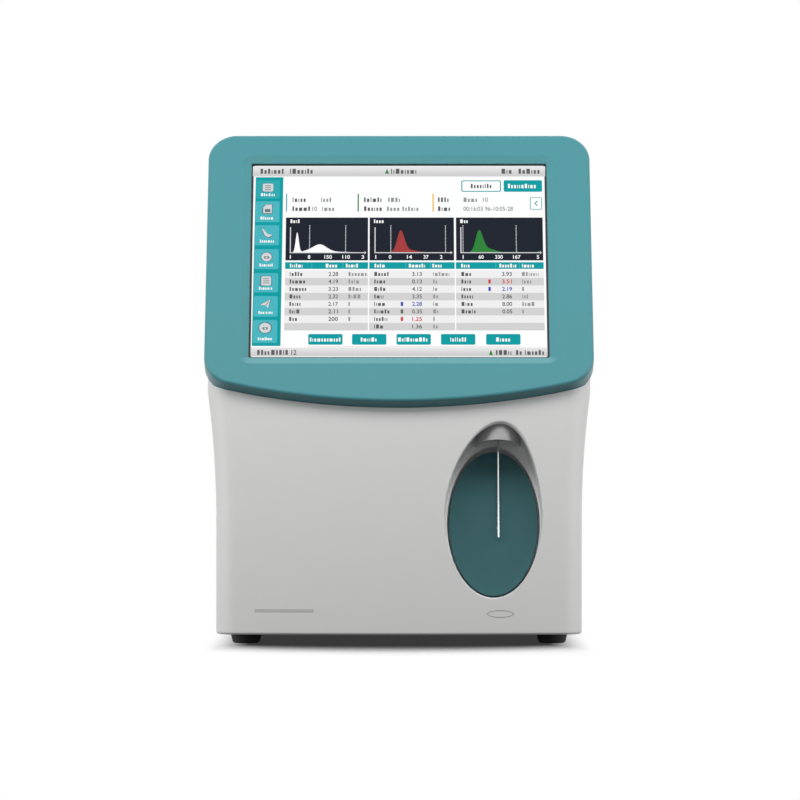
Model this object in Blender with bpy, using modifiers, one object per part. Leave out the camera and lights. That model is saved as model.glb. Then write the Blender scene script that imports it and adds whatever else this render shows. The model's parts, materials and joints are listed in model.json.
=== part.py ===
"""A bench-top haematology analyser, modelled piece by piece.

Metres. +X is to the right of someone facing the screen, -Y is the front and +Z is up.
The origin lies on the bench, under the middle of the machine.
"""

import math

import bmesh
import bpy
from mathutils import Matrix, Vector

# Clearances and facets shared by every piece
GAP = 0.0003
OVERRUN = 0.005
EMBED = 0.0006
MERGE = 0.000001
SIDES = 32
SMALL_SIDES = 16
CORNER_STEPS = 5
BOW_STEPS = 12
FLARE_STEPS = 5
SHARP_ANGLE = math.radians(40)

# Whole machine and its outer shell
DEPTH = 0.390
SHELL_WALL = 0.003
SHELL_BASE_Z = 0.008
BODY_TOP_DROP = 0.00806
WIDTH_HIGH = 0.316
FLARE = 0.014
FLARE_START_Z = 0.102
FLARE_END_Z = 0.217
FRONT_CORNER = 0.020
TOP_CORNER = 0.025
BODY_SETBACK = 0.009
FRONT_COVER_DEPTH = 0.036
SPLIT_Z = 0.205
REAR_REACH = 0.0125

# Display housing, leaning back over the front
BEZEL_TILT = math.radians(30)
BEZEL_LOW_Z = 0.2018
BEZEL_PROUD = 0.0025
BEZEL_TOP_BORDER = 0.0287
BEZEL_THICK = 0.013
BEZEL_WALL = 0.003
BEZEL_BOW = 0.0216
BEZEL_TOP_CORNER = 0.024
BEZEL_LOW_CORNER = 0.026
BEZEL_ROUND = 0.0025
SCREEN_SIDE_BORDER = 0.0375
SCREEN_HEIGHT = 0.1874
SCREEN_RISE = 0.0417
WINDOW_MARGIN = 0.001
WINDOW_CORNER = 0.0012
CHAMFER_WIDTH = 0.0068
CHAMFER_DEPTH = 0.0022
GASKET_BORDER = 0.0045
GASKET_THICK = 0.0009
GLASS_THICK = 0.0011
LCD_THICK = 0.0053
LCD_BORDER = 0.008
DISPLAY_PLATE_THICK = 0.0012

# Aspirate key in its scooped recess, leaning back like the probe in front of it
LEAN = math.radians(12)
KEY_INSET = 0.0731
KEY_Z = 0.0988
KEY_WIDTH = 0.0736
KEY_HEIGHT = 0.1207
KEY_THICK = 0.004
KEY_ROUND = 0.0008
KEY_BOTTOM_DEPTH = 0.0085
KEY_TRAVEL = 0.003
KEY_STEM_RADIUS = 0.005
FLOOR_CLEARANCE = 0.0005
RECESS_SHIFT = 0.0007
RECESS_Z = 0.1088
RECESS_WIDTH = 0.0822
RECESS_HEIGHT = 0.1482
SWITCH_WIDTH = 0.020
SWITCH_HEIGHT = 0.012
SWITCH_DEPTH = 0.008

# Probe, its visor and its lift
PROBE_SHIFT = 0.0041
PROBE_RADIUS = 0.001
PROBE_POINT_RADIUS = 0.00035
PROBE_POINT_LENGTH = 0.003
PROBE_CLEARANCE = 0.0021
PROBE_TIP_RISE = -0.0122
PROBE_TOP_RISE = 0.108
PROBE_HUB_RADIUS = 0.003
PROBE_HUB_HEIGHT = 0.006
PROBE_BORE_CLEARANCE = 0.0012
PROBE_PASSAGE_RADIUS = 0.005
VISOR_SHIFT = 0.0033
VISOR_RISE = 0.0665
VISOR_HALF_WIDTH = 0.0195
VISOR_HEIGHT = 0.0182
VISOR_REACH = 0.036
VISOR_WALL = 0.0022
VISOR_RINGS = 16
WIPE_WIDTH = 0.012
WIPE_DEPTH = 0.016
WIPE_HEIGHT = 0.009
WIPE_LIFT = 0.003
CARRIAGE_RISE = 0.093
CARRIAGE_WIDTH = 0.020
CARRIAGE_HEIGHT = 0.014
CARRIAGE_NOSE = 0.0039
RAIL_DEPTH = 0.018
RAIL_WIDTH = 0.009
RAIL_THICK = 0.006
RAIL_OVERLAP = 0.0035
RAIL_RISE = 0.0925
RAIL_LENGTH = 0.104
LIFT_PLATE_THICK = 0.002
LIFT_PLATE_LEFT = 0.0215
LIFT_PLATE_RIGHT = 0.0355
GUSSET_THICK = 0.002
GUSSET_LOW_Z = 0.188
GUSSET_HIGH_Z = 0.280
PULLEY_OFFSET = 0.021
PULLEY_RADIUS = 0.008
PULLEY_LOW_RISE = 0.102
PULLEY_HIGH_RISE = 0.184
PULLEY_SHAFT_RADIUS = 0.002
BELT_THICK = 0.0012
BELT_WIDTH = 0.006
BELT_DEPTH = 0.010
CLAMP_HEIGHT = 0.006
MOTOR_SIZE = 0.035
MOTOR_LENGTH = 0.030
MOTOR_ROUND = 0.003

# Sheet-metal chassis
BASE_THICK = 0.002
SHEET = 0.0015
FRAME_SETBACK = 0.067
FRAME_TOP_Z = 0.280
FRAME_WINDOW_LEFT = 0.0275
FRAME_WINDOW_RIGHT = 0.039
FRAME_WINDOW_LOW_Z = 0.174
PARTITION_X = -0.010
PARTITION_TOP_DROP = 0.012
REAR_PANEL_INSET = 0.001
FOOT_INSET = 0.0245
FOOT_SETBACK = 0.045
FOOT_TOP_RADIUS = 0.0129
FOOT_BOTTOM_RADIUS = 0.0107
FOOT_ROUND = 0.0015

# Service door on the right-hand side
HINGE_PROUD = 0.001
KNUCKLE_RADIUS = 0.003
KNUCKLE_LENGTH = 0.012
PIN_RADIUS = 0.0015
PIN_HEAD = 0.0012
PIN_CLEARANCE = 0.0004
HINGE_Z = (0.045, 0.165)
HINGE_ARM_THICK = 0.0018
HINGE_ARM_REACH = 0.014
HINGE_LEAF_WIDTH = 0.020
HINGE_LEAF_THICK = 0.0015
HINGE_PAD_WIDTH = 0.012
DOOR_LIFT = 0.002
LATCH_SETBACK = 0.023
LATCH_Z = 0.110
LATCH_HEAD_RADIUS = 0.010
LATCH_FLANGE_RADIUS = 0.012
LATCH_FLANGE_THICK = 0.002
LATCH_SLOT_WIDTH = 0.002
LATCH_SLOT_LENGTH = 0.014
LATCH_SLOT_DEPTH = 0.0014
LATCH_SHAFT_RADIUS = 0.003
CAM_INSET = 0.017
CAM_THICK = 0.003
CAM_WIDTH = 0.007
CAM_LENGTH = 0.018
CATCH_THICK = 0.0015
CATCH_SLACK = 0.0008
CATCH_REACH = 0.014
CATCH_HEIGHT = 0.030
CATCH_FOOT = 0.009

# Fluidics behind the door
SHELF_Z = 0.150
SHELF_LENGTH = 0.108
SHELF_SETBACK = 0.033
SHELF_DEPTH = 0.090
SHELF_THICK = 0.002
SHELF_FLANGE = 0.030
BATH_INSET = 0.075
BATH_SETBACK = 0.056
BATH_SPACING = 0.042
BATH_RADIUS = 0.011
BATH_WALL = 0.002
BATH_RIM_RADIUS = 0.014
BATH_RIM_THICK = 0.002
BATH_DEPTH = 0.040
BATH_NECK = 0.010
BATH_SPOUT_RADIUS = 0.003
BATH_SPOUT_LENGTH = 0.010
SYRINGE_AHEAD = 0.145
SYRINGE_OFFSET = 0.0181
SYRINGE_PLATE_WIDTH = 0.044
SYRINGE_PLATE_LOW_Z = 0.020
SYRINGE_PLATE_HIGH_Z = 0.185
SYRINGE_MOTOR_Z = 0.030
SYRINGE_MOTOR_HEIGHT = 0.028
BARREL_LOW_Z = 0.108
BARREL_HIGH_Z = 0.178
BARREL_RADIUS = 0.007
BARREL_BORE = 0.0053
BARREL_CAP = 0.004
BARREL_TIP_RADIUS = 0.0022
BARREL_TIP_LENGTH = 0.008
CLAMP_BLOCK = 0.024
CLAMP_BLOCK_Z = 0.140
CLAMP_BLOCK_HEIGHT = 0.010
PLUNGER_RADIUS = 0.0049
PLUNGER_TIP_Z = 0.132
YOKE_Z = 0.060
YOKE_RADIUS = 0.009
YOKE_HEIGHT = 0.006
SCREW_RADIUS = 0.003
SCREW_END_Z = 0.0125
SCREW_CLEARANCE = 0.0004
PUMP_AHEAD = 0.068
PUMP_Z = 0.100
PUMP_SIZE = 0.046
PUMP_DEPTH = 0.024
PUMP_WALL = 0.006
PUMP_CHAMBER_RADIUS = 0.019
PUMP_ROTOR_RADIUS = 0.0165
PUMP_ROTOR_DISC = 0.003
PUMP_ROLLER_RADIUS = 0.004
PUMP_ROLLER_CIRCLE = 0.012
PUMP_ROLLER_LENGTH = 0.011
PUMP_ROLLERS = 3
PUMP_SHAFT_RADIUS = 0.0022
PUMP_PORT_RADIUS = 0.0025
PUMP_PORT_LENGTH = 0.010
PUMP_PORT_SPREAD = 0.012
PUMP_MOTOR_RADIUS = 0.0175
PUMP_MOTOR_LENGTH = 0.032
VALVE_AHEAD = 0.095
VALVE_Z = 0.230
VALVE_LENGTH = 0.120
VALVE_HEIGHT = 0.030
VALVE_DEPTH = 0.020
VALVE_COIL_RADIUS = 0.009
VALVE_COIL_LENGTH = 0.024
VALVE_COUNT = 5
TUBE_RADIUS = 0.002
TUBE_STEPS = 6

# Electronics on the left-hand side
SUPPLY_WIDTH = 0.090
SUPPLY_DEPTH = 0.150
SUPPLY_HEIGHT = 0.042
SUPPLY_INSET = 0.079
SUPPLY_AHEAD = 0.110
BOARD_THICK = 0.0016
BOARD_STANDOFF = 0.008
BOARD_STANDOFF_RADIUS = 0.003
BOARD_LENGTH = 0.180
BOARD_HEIGHT = 0.190
BOARD_AHEAD = 0.120
BOARD_LOW_Z = 0.125
CHIP_SIZE = 0.028
CHIP_THICK = 0.004
BOARD_PLUG_LENGTH = 0.050
BOARD_PLUG_HEIGHT = 0.009
BOARD_PLUG_DEPTH = 0.010

# Fittings of the rear panel
FAN_INSET = 0.066
FAN_DROP = 0.117
FAN_SIZE = 0.080
FAN_DEPTH = 0.025
FAN_CORNER = 0.005
FAN_BORE = 0.038
FAN_BLADE_CLEARANCE = 0.0015
FAN_HUB_RADIUS = 0.017
FAN_BLADES = 7
FAN_BLADE_PITCH = math.radians(38)
FAN_BLADE_CHORD = 0.019
FAN_BLADE_THICK = 0.0015
FAN_ROTOR_DEPTH = 0.018
FAN_SPIDER_THICK = 0.003
FAN_SPIDER_WIDTH = 0.006
GUARD_THICK = 0.002
GUARD_BARS = 8
INLET_INSET = 0.059
INLET_Z = 0.062
INLET_FLANGE_WIDTH = 0.060
INLET_FLANGE_HEIGHT = 0.032
INLET_FLANGE_THICK = 0.003
INLET_BODY_WIDTH = 0.054
INLET_BODY_HEIGHT = 0.025
INLET_BODY_DEPTH = 0.022
SOCKET_OFFSET = 0.0125
SOCKET_WIDTH = 0.024
SOCKET_HEIGHT = 0.0165
SOCKET_DEPTH = 0.0145
BLADE_WIDTH = 0.002
BLADE_HEIGHT = 0.004
BLADE_LENGTH = 0.011
BLADE_SPACING = 0.007
BLADE_RISE = 0.002
ROCKER_OFFSET = -0.0155
ROCKER_WIDTH = 0.015
ROCKER_HEIGHT = 0.021
ROCKER_THICK = 0.006
ROCKER_CLEARANCE = 0.0010
ROCKER_REST = math.radians(8)
ROCKER_SOCKET_DEPTH = 0.009
PORTS_INSET = 0.076
PORTS_Z = 0.062
PORTS_WIDTH = 0.104
PORTS_HEIGHT = 0.026
PORTS_THICK = 0.003
NIPPLE_RADIUS = 0.0035
NIPPLE_BARB_RADIUS = 0.0045
NIPPLE_BORE = 0.0015
NIPPLE_SPACING = 0.026
NIPPLE_COUNT = 4
DATA_INSET = 0.071
DATA_Z = 0.150
DATA_WIDTH = 0.078
DATA_HEIGHT = 0.018
DATA_DEPTH = 0.020
DATA_LIP = 0.001
USB_WIDTH = 0.0132
USB_HEIGHT = 0.0058
USB_DEPTH = 0.012
LAN_WIDTH = 0.0135
LAN_HEIGHT = 0.0115
LAN_DEPTH = 0.013
DATA_SPACING = 0.0225

# Places worked out from the sizes above
FRONT_Y = -DEPTH / 2
WIDTH_LOW = WIDTH_HIGH - FLARE
SIDE_X = WIDTH_LOW / 2
BEZEL_WIDTH = WIDTH_HIGH + 2 * BEZEL_PROUD
BEZEL_LENGTH = SCREEN_RISE + SCREEN_HEIGHT + BEZEL_TOP_BORDER
SCREEN_WIDTH = BEZEL_WIDTH - 2 * SCREEN_SIDE_BORDER
BODY_TOP_Z = BEZEL_LOW_Z + BEZEL_LENGTH * math.cos(BEZEL_TILT) - BODY_TOP_DROP
BODY_FRONT_Y = FRONT_Y + BODY_SETBACK
BODY_REAR_Y = DEPTH / 2 - REAR_REACH
BODY_BOW = BEZEL_BOW * math.sin(BEZEL_TILT) * (WIDTH_HIGH / BEZEL_WIDTH) ** 2
REAR_Y = DEPTH / 2 - BEZEL_ROUND * (math.cos(BEZEL_TILT) + math.sin(BEZEL_TILT) - 1)
PANEL_OUTER_Y = BODY_REAR_Y - REAR_PANEL_INSET
PANEL_INNER_Y = PANEL_OUTER_Y - SHEET
SPLIT_Y = BODY_FRONT_Y + FRONT_COVER_DEPTH
BASE_TOP_Z = SHELL_BASE_Z + GAP + BASE_THICK
FRAME_Y = FRONT_Y + FRAME_SETBACK
FOOT_X = SIDE_X - FOOT_INSET
FOOT_Y = DEPTH / 2 - FOOT_SETBACK
PARTITION_TOP_Z = BODY_TOP_Z - PARTITION_TOP_DROP
KEY_X = SIDE_X - KEY_INSET
RECESS_X = KEY_X + RECESS_SHIFT
PROBE_X = KEY_X + PROBE_SHIFT
VISOR_X = KEY_X + VISOR_SHIFT
HINGE_X = SIDE_X + HINGE_PROUD
HINGE_Y = BODY_REAR_Y + GAP + KNUCKLE_RADIUS
LATCH_Y = FRAME_Y + LATCH_SETBACK
CAM_X = SIDE_X - CAM_INSET
SHELF_FRONT_Y = FRAME_Y + SHELF_SETBACK
SHELF_BACK_Y = SHELF_FRONT_Y + SHELF_DEPTH
BATH_X = SIDE_X - BATH_INSET
BATH_Y = (FRAME_Y + BATH_SETBACK, FRAME_Y + BATH_SETBACK + BATH_SPACING)
SYRINGE_Y = PANEL_INNER_Y - SYRINGE_AHEAD
PUMP_Y = PANEL_INNER_Y - PUMP_AHEAD
VALVE_Y = PANEL_INNER_Y - VALVE_AHEAD
SUPPLY_X = SUPPLY_INSET - SIDE_X
SUPPLY_Y = PANEL_INNER_Y - SUPPLY_AHEAD
BOARD_Y = PANEL_INNER_Y - BOARD_AHEAD
FAN_X = FAN_INSET - SIDE_X
FAN_Z = BODY_TOP_Z - FAN_DROP
INLET_X = INLET_INSET - SIDE_X
PORTS_X = SIDE_X - PORTS_INSET
DATA_X = DATA_INSET - SIDE_X
WINDOW_WIDTH = SCREEN_WIDTH + 2 * WINDOW_MARGIN
WINDOW_HEIGHT = SCREEN_HEIGHT + 2 * WINDOW_MARGIN
SCREEN_MIDDLE = SCREEN_RISE + SCREEN_HEIGHT / 2
PROBE_DEPTH = -(PROBE_RADIUS + PROBE_CLEARANCE)
FLOOR_DEPTH = KEY_THICK + KEY_TRAVEL + FLOOR_CLEARANCE
LIFT_PLATE_DEPTH = RAIL_DEPTH + RAIL_THICK + GAP
BELT_MIDDLE = BELT_DEPTH + BELT_WIDTH / 2
PULLEY_X = PROBE_X + PULLEY_OFFSET
PARTITION_FACE = PARTITION_X + SHEET / 2 + GAP
PARTITION_BACK = PARTITION_X - SHEET / 2 - GAP
SYRINGE_X = PARTITION_FACE + SHEET + GAP + SYRINGE_OFFSET

# Points of the tubes as (across, along, up). Along counts from the rear panel, from the first
# bath, which across counts from too, and from the pump's port
DILUENT_ROUTE = (
    (0.036, -0.0007, 0.062),
    (0.036, -0.012, 0.062),
    (0.030, -0.022, 0.095),
    (0.014, -0.028, 0.160),
    (0.002, -0.042, 0.205),
    (0.001, -0.045, 0.220),
    (0.001, -0.045, 0.2294),
)
WASTE_START = (
    (0, 0, 0.0897),
    (0, 0, 0.080),
    (-0.002, 0.027, 0.058),
)
WASTE_END = (
    (0.060, -0.090, 0.052),
    (0.046, -0.038, 0.085),
    (0.022, -0.008, 0.145),
    (0.006, 0, 0.152),
    (0.003, 0, 0.143),
    (0.003, 0, 0.1336),
)

PIECES = bpy.data.collections.new("haematology_analyser")
CUTTERS = bpy.data.collections.new("cutters")
FINISHES = {}


def clear_scene():
    """Empties the scene, and adds the two collections and the named finishes."""
    for obj in list(bpy.data.objects):
        bpy.data.objects.remove(obj, do_unlink=True)
    for collection in (PIECES, CUTTERS):
        bpy.context.scene.collection.children.link(collection)
    CUTTERS.hide_render = True
    looks = {
        "white_plastic": ((0.60, 0.60, 0.59), 0.45, 0),
        "teal_plastic": ((0.095, 0.335, 0.370), 0.38, 0),
        "dark_teal_plastic": ((0.030, 0.075, 0.085), 0.35, 0),
        "grey_plastic": ((0.33, 0.33, 0.33), 0.45, 0),
        "black_plastic": ((0.02, 0.02, 0.02), 0.5, 0),
        "clear_plastic": ((0.70, 0.72, 0.70), 0.2, 0),
        "black_rubber": ((0.015, 0.015, 0.015), 0.8, 0),
        "screen_glass": ((0.02, 0.02, 0.025), 0.05, 0),
        "painted_steel": ((0.50, 0.50, 0.49), 0.5, 0),
        "zinc_steel": ((0.52, 0.53, 0.54), 0.35, 1),
        "stainless": ((0.70, 0.70, 0.70), 0.2, 1),
        "aluminium": ((0.65, 0.66, 0.67), 0.35, 1),
        "circuit_board": ((0.02, 0.16, 0.07), 0.5, 0),
    }
    for name, (colour, roughness, metallic) in looks.items():
        finish = bpy.data.materials.new(name)
        finish.use_nodes = True
        shader = finish.node_tree.nodes["Principled BSDF"]
        shader.inputs["Base Color"].default_value = (*colour, 1)
        shader.inputs["Roughness"].default_value = roughness
        shader.inputs["Metallic"].default_value = metallic
        FINISHES[name] = finish


def frame(name, place, tilt):
    """An empty that carries pieces built upright, leaning back by tilt."""
    empty = bpy.data.objects.new(name, None)
    PIECES.objects.link(empty)
    empty.location = place
    empty.rotation_euler = (-tilt, 0, 0)
    bpy.context.view_layer.update()
    return empty


def to_mesh(bm, turn=None):
    """A mesh from bm, with its normals outward, turned by a matrix."""
    bmesh.ops.remove_doubles(bm, verts=bm.verts, dist=MERGE)
    if turn is not None:
        bmesh.ops.transform(bm, matrix=turn, verts=bm.verts)
    bmesh.ops.recalc_face_normals(bm, faces=bm.faces)
    mesh = bpy.data.meshes.new("shape")
    bm.to_mesh(mesh)
    bm.free()
    mesh.shade_smooth()
    mesh.set_sharp_from_angle(angle=SHARP_ANGLE)
    return mesh


def place(obj, at, parent):
    """Puts an object at a place in its parent's frame."""
    obj.location = at
    obj.parent = parent


def piece(name, mesh, finish, at=(0, 0, 0), parent=None):
    """One separate part of the machine."""
    obj = bpy.data.objects.new(name, mesh)
    mesh.name = name
    mesh.materials.append(FINISHES[finish])
    PIECES.objects.link(obj)
    place(obj, at, parent)
    return obj


def shape(target, mesh, operation, at=(0, 0, 0), parent=None):
    """Cuts a mesh from target, joins it on, or keeps only what they share."""
    tool = bpy.data.objects.new(f"{target.name}_tool_{len(target.modifiers)}", mesh)
    tool.hide_render = True
    tool.display_type = "WIRE"
    CUTTERS.objects.link(tool)
    place(tool, at, parent)
    modifier = target.modifiers.new(operation.lower(), "BOOLEAN")
    modifier.operation = operation
    modifier.object = tool


def cut(target, mesh, at=(0, 0, 0), parent=None):
    """Cuts a mesh out of target."""
    shape(target, mesh, "DIFFERENCE", at, parent)


def join(target, mesh, at=(0, 0, 0), parent=None):
    """Joins a mesh onto target."""
    shape(target, mesh, "UNION", at, parent)


def block(width, depth, height, edge=0):
    """A box about its middle, with rounded edges where edge is given."""
    bm = bmesh.new()
    bmesh.ops.create_cube(bm, size=1)
    bmesh.ops.scale(bm, vec=(width, depth, height), verts=bm.verts)
    if edge:
        bmesh.ops.bevel(
            bm, geom=bm.edges, offset=edge, segments=2, affect="EDGES", profile=0.5
        )
    return to_mesh(bm)


def span(low, high):
    """A box between two corners, given in the frame it is placed in."""
    bm = bmesh.new()
    bmesh.ops.create_cube(bm, size=1)
    bmesh.ops.scale(bm, vec=Vector(high) - Vector(low), verts=bm.verts)
    bmesh.ops.translate(bm, vec=(Vector(high) + Vector(low)) / 2, verts=bm.verts)
    return to_mesh(bm)


TURNS = {
    "X": Matrix.Rotation(math.pi / 2, 4, "Y"),
    "Y": Matrix.Rotation(-math.pi / 2, 4, "X"),
    "Z": Matrix.Identity(4),
}


def rod(radius, length, axis="Z", top_radius=None, sides=SIDES, edge=0):
    """A round bar about its middle; top_radius is the radius at its far end."""
    bm = bmesh.new()
    bmesh.ops.create_cone(
        bm,
        cap_ends=True,
        segments=sides,
        radius1=radius,
        radius2=radius if top_radius is None else top_radius,
        depth=length,
    )
    if edge:
        rims = [e for e in bm.edges if e.calc_face_angle() > SHARP_ANGLE]
        bmesh.ops.bevel(
            bm, geom=rims, offset=edge, segments=2, affect="EDGES", profile=0.5
        )
    return to_mesh(bm, TURNS[axis])


PLANES = {
    "XY": Matrix.Identity(4),
    "XZ": Matrix.Rotation(math.pi / 2, 4, "X"),
    "YZ": Matrix(((0, 0, 1, 0), (1, 0, 0, 0), (0, 1, 0, 0), (0, 0, 0, 1))),
}


def plate(outline, thickness, plane="XZ", holes=(), front_edge=0):
    """A flat outline given a thickness about its plane, with any holes through it."""
    curve = bpy.data.curves.new("outline", "CURVE")
    curve.dimensions = "2D"
    curve.fill_mode = "BOTH"
    curve.extrude = thickness / 2
    for loop in (outline, *holes):
        spline = curve.splines.new("POLY")
        spline.points.add(len(loop) - 1)
        for point, (across, up) in zip(spline.points, loop):
            point.co = (across, up, 0, 1)
        spline.use_cyclic_u = True
    holder = bpy.data.objects.new("outline", curve)
    bpy.context.scene.collection.objects.link(holder)
    graph = bpy.context.evaluated_depsgraph_get()
    flat = bpy.data.meshes.new_from_object(holder.evaluated_get(graph))
    bpy.data.objects.remove(holder)
    bm = bmesh.new()
    bm.from_mesh(flat)
    bmesh.ops.remove_doubles(bm, verts=bm.verts, dist=MERGE)
    bmesh.ops.dissolve_limit(
        bm, angle_limit=MERGE, verts=bm.verts, edges=bm.edges, delimit={"NORMAL"}
    )
    if front_edge:
        bmesh.ops.recalc_face_normals(bm, faces=bm.faces)
        rim = [
            e
            for e in bm.edges
            if min(v.co.z for v in e.verts) > 0 and e.calc_face_angle() > SHARP_ANGLE
        ]
        bmesh.ops.bevel(
            bm, geom=rim, offset=front_edge, segments=3, affect="EDGES", profile=0.5
        )
    return to_mesh(bm, PLANES[plane])


def rounded(corners, steps=CORNER_STEPS):
    """Outline points of a polygon whose corners are (across, up, radius)."""
    points = []
    befores = corners[-1:] + corners[:-1]
    afters = corners[1:] + corners[:1]
    for before, here, after in zip(befores, corners, afters):
        corner = Vector(here[:2])
        if not here[2]:
            points.append(tuple(corner))
            continue
        back = (Vector(before[:2]) - corner).normalized()
        ahead = (Vector(after[:2]) - corner).normalized()
        half = back.angle(ahead) / 2
        centre = corner + (back + ahead).normalized() * here[2] / math.sin(half)
        start = corner + back * here[2] / math.tan(half) - centre
        side = math.copysign(1, back.x * ahead.y - back.y * ahead.x)
        for step in range(steps + 1):
            turn = -side * (math.pi - 2 * half) * step / steps
            points.append(tuple(centre + Matrix.Rotation(turn, 2) @ start))
    return points


def rectangle(width, height, radius=0, middle=(0, 0)):
    """A rectangle's outline about a middle, with rounded corners."""
    across, up = middle
    return rounded(
        [
            (across + side * width / 2, up + level * height / 2, radius)
            for side, level in ((-1, -1), (1, -1), (1, 1), (-1, 1))
        ]
    )


def circle(radius, middle=(0, 0), sides=SIDES, start=0, stop=2 * math.pi):
    """Points round a circle, or along an arc of it."""
    full = math.isclose(stop - start, 2 * math.pi)
    count = sides if full else sides + 1
    return [
        (
            middle[0] + radius * math.cos(start + (stop - start) * step / sides),
            middle[1] + radius * math.sin(start + (stop - start) * step / sides),
        )
        for step in range(count)
    ]


def loft(sections):
    """A closed solid through outlines in XZ planes, each given as (y, outline)."""
    bm = bmesh.new()
    loops = []
    for y, outline in sections:
        ring = [bm.verts.new((x, y, z)) for x, z in outline]
        loops.append([bm.edges.new(pair) for pair in zip(ring, ring[1:] + ring[:1])])
    for lower, upper in zip(loops, loops[1:]):
        bmesh.ops.bridge_loops(bm, edges=lower + upper)
    bmesh.ops.holes_fill(bm, edges=loops[0] + loops[-1], sides=0)
    return to_mesh(bm)


def turned(name, profile, finish, at=(0, 0, 0), parent=None, axis="Z", sides=SIDES):
    """A piece turned round Y or Z, from a profile of (radius, height) that runs down."""
    mesh = bpy.data.meshes.new(name)
    points = [(r, 0, h) if axis == "Z" else (0, h, r) for r, h in profile]
    mesh.from_pydata(points, [(i, i + 1) for i in range(len(points) - 1)], [])
    obj = piece(name, mesh, finish, at, parent)
    screw = obj.modifiers.new("turn", "SCREW")
    screw.axis = axis
    screw.steps = screw.render_steps = sides
    screw.use_merge_vertices = True
    screw.merge_threshold = MERGE
    return obj


def tube(name, route, radius, finish):
    """A round tube along a smooth curve through the route's points."""
    curve = bpy.data.curves.new(name, "CURVE")
    curve.dimensions = "3D"
    curve.bevel_depth = radius
    curve.bevel_resolution = 2
    curve.use_fill_caps = True
    spline = curve.splines.new("POLY")
    points = [Vector(point) for point in route]
    padded = [2 * points[0] - points[1], *points, 2 * points[-1] - points[-2]]
    smooth = []
    for before, start, end, after in zip(padded, padded[1:], padded[2:], padded[3:]):
        for step in range(TUBE_STEPS):
            t = step / TUBE_STEPS
            first = (end - before) * t
            second = (2 * before - 5 * start + 4 * end - after) * t**2
            third = (3 * start - before - 3 * end + after) * t**3
            smooth.append((2 * start + first + second + third) / 2)
    smooth.append(points[-1])
    spline.points.add(len(smooth) - 1)
    for point, co in zip(spline.points, smooth):
        point.co = (*co, 1)
    curve.materials.append(FINISHES[finish])
    obj = bpy.data.objects.new(name, curve)
    PIECES.objects.link(obj)
    return obj


def front_y(x):
    """The body's front face, which is bowed in plan."""
    return BODY_FRONT_Y + BODY_BOW * (2 * x / WIDTH_HIGH) ** 2


def half_width(z, inset=0):
    """Half the body's width at a height: upright, then flared, then rounded over."""
    share = min(max((z - FLARE_START_Z) / (FLARE_END_Z - FLARE_START_Z), 0), 1)
    half = (WIDTH_LOW + (WIDTH_HIGH - WIDTH_LOW) * share**2) / 2 - inset
    radius = TOP_CORNER - inset
    over = max(z - (BODY_TOP_Z - TOP_CORNER), 0)
    return half - radius + math.sqrt(max(radius**2 - over**2, 0))


def levels(low, inset=0):
    """Heights at which the body's width is read, from low to the top."""
    flare = FLARE_END_Z - FLARE_START_Z
    heights = [FLARE_START_Z + flare * step / FLARE_STEPS for step in range(FLARE_STEPS + 1)]
    centre = BODY_TOP_Z - TOP_CORNER
    radius = TOP_CORNER - inset
    heights += [
        centre + radius * math.sin(math.pi / 2 * step / CORNER_STEPS)
        for step in range(CORNER_STEPS + 1)
    ]
    return [low] + [z for z in heights if z > low + MERGE]


def body_section(z, inset=0, rear=BODY_REAR_Y):
    """The body's plan at a height, from the rear left round the front to the rear right."""
    half = half_width(z, inset)
    corner = FRONT_CORNER - inset
    bow = [half * (2 * step / BOW_STEPS - 1) for step in range(BOW_STEPS + 1)]
    front = [(x, front_y(x) + inset, 0) for x in bow]
    front[0] = (*front[0][:2], corner)
    front[-1] = (*front[-1][:2], corner)
    return rounded([(-half, rear, 0), *front, (half, rear, 0)])


def front_outline(low, inset):
    """The body's outline seen from the front, pulled in by inset."""
    heights = levels(low, inset)
    right = [(half_width(z, inset), z) for z in heights]
    return right + [(-x, z) for x, z in reversed(right)]


def body_shell():
    """The outer skin of the whole body as an open sheet, bent from a grid."""
    heights = levels(SHELL_BASE_Z)
    columns = len(body_section(SHELL_BASE_Z))
    bm = bmesh.new()
    bmesh.ops.create_grid(
        bm, x_segments=columns - 1, y_segments=len(heights) - 1, size=1
    )
    top = {}
    for vert in bm.verts:
        column = round((vert.co.x + 1) / 2 * (columns - 1))
        row = round((vert.co.y + 1) / 2 * (len(heights) - 1))
        x, y = body_section(heights[row])[column]
        vert.co = (x, y, heights[row])
        if row == len(heights) - 1:
            top[column] = vert
    bm.faces.new([top[column] for column in range(columns)])
    bmesh.ops.recalc_face_normals(bm, faces=bm.faces)
    bm.faces.ensure_lookup_table()
    if bm.faces[-1].normal.z < 0:
        bmesh.ops.reverse_faces(bm, faces=bm.faces)
    mesh = bpy.data.meshes.new("shell")
    bm.to_mesh(mesh)
    bm.free()
    return mesh


def shell_piece(name, low, high):
    """The part of the body's skin that lies between two corners."""
    obj = piece(name, body_shell(), "white_plastic")
    wall = obj.modifiers.new("wall", "SOLIDIFY")
    wall.thickness = SHELL_WALL
    wall.offset = -1
    wall.use_even_offset = True
    shape(obj, span(low, high), "INTERSECT")
    return obj


def bezel_outline(grow=0):
    """The display housing's outline: straight top and sides, and a bowed lower edge."""
    half = BEZEL_WIDTH / 2
    bow = [2 * step / BOW_STEPS - 1 for step in range(BOW_STEPS + 1)]
    low = [(share * (half + grow), BEZEL_BOW * share**2 - grow, 0) for share in bow]
    corner = BEZEL_LOW_CORNER + grow
    low[0] = (*low[0][:2], corner)
    low[-1] = (*low[-1][:2], corner)
    top = BEZEL_LENGTH + grow
    corner = BEZEL_TOP_CORNER + grow
    return rounded([*low, (half + grow, top, corner), (-half - grow, top, corner)])


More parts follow.
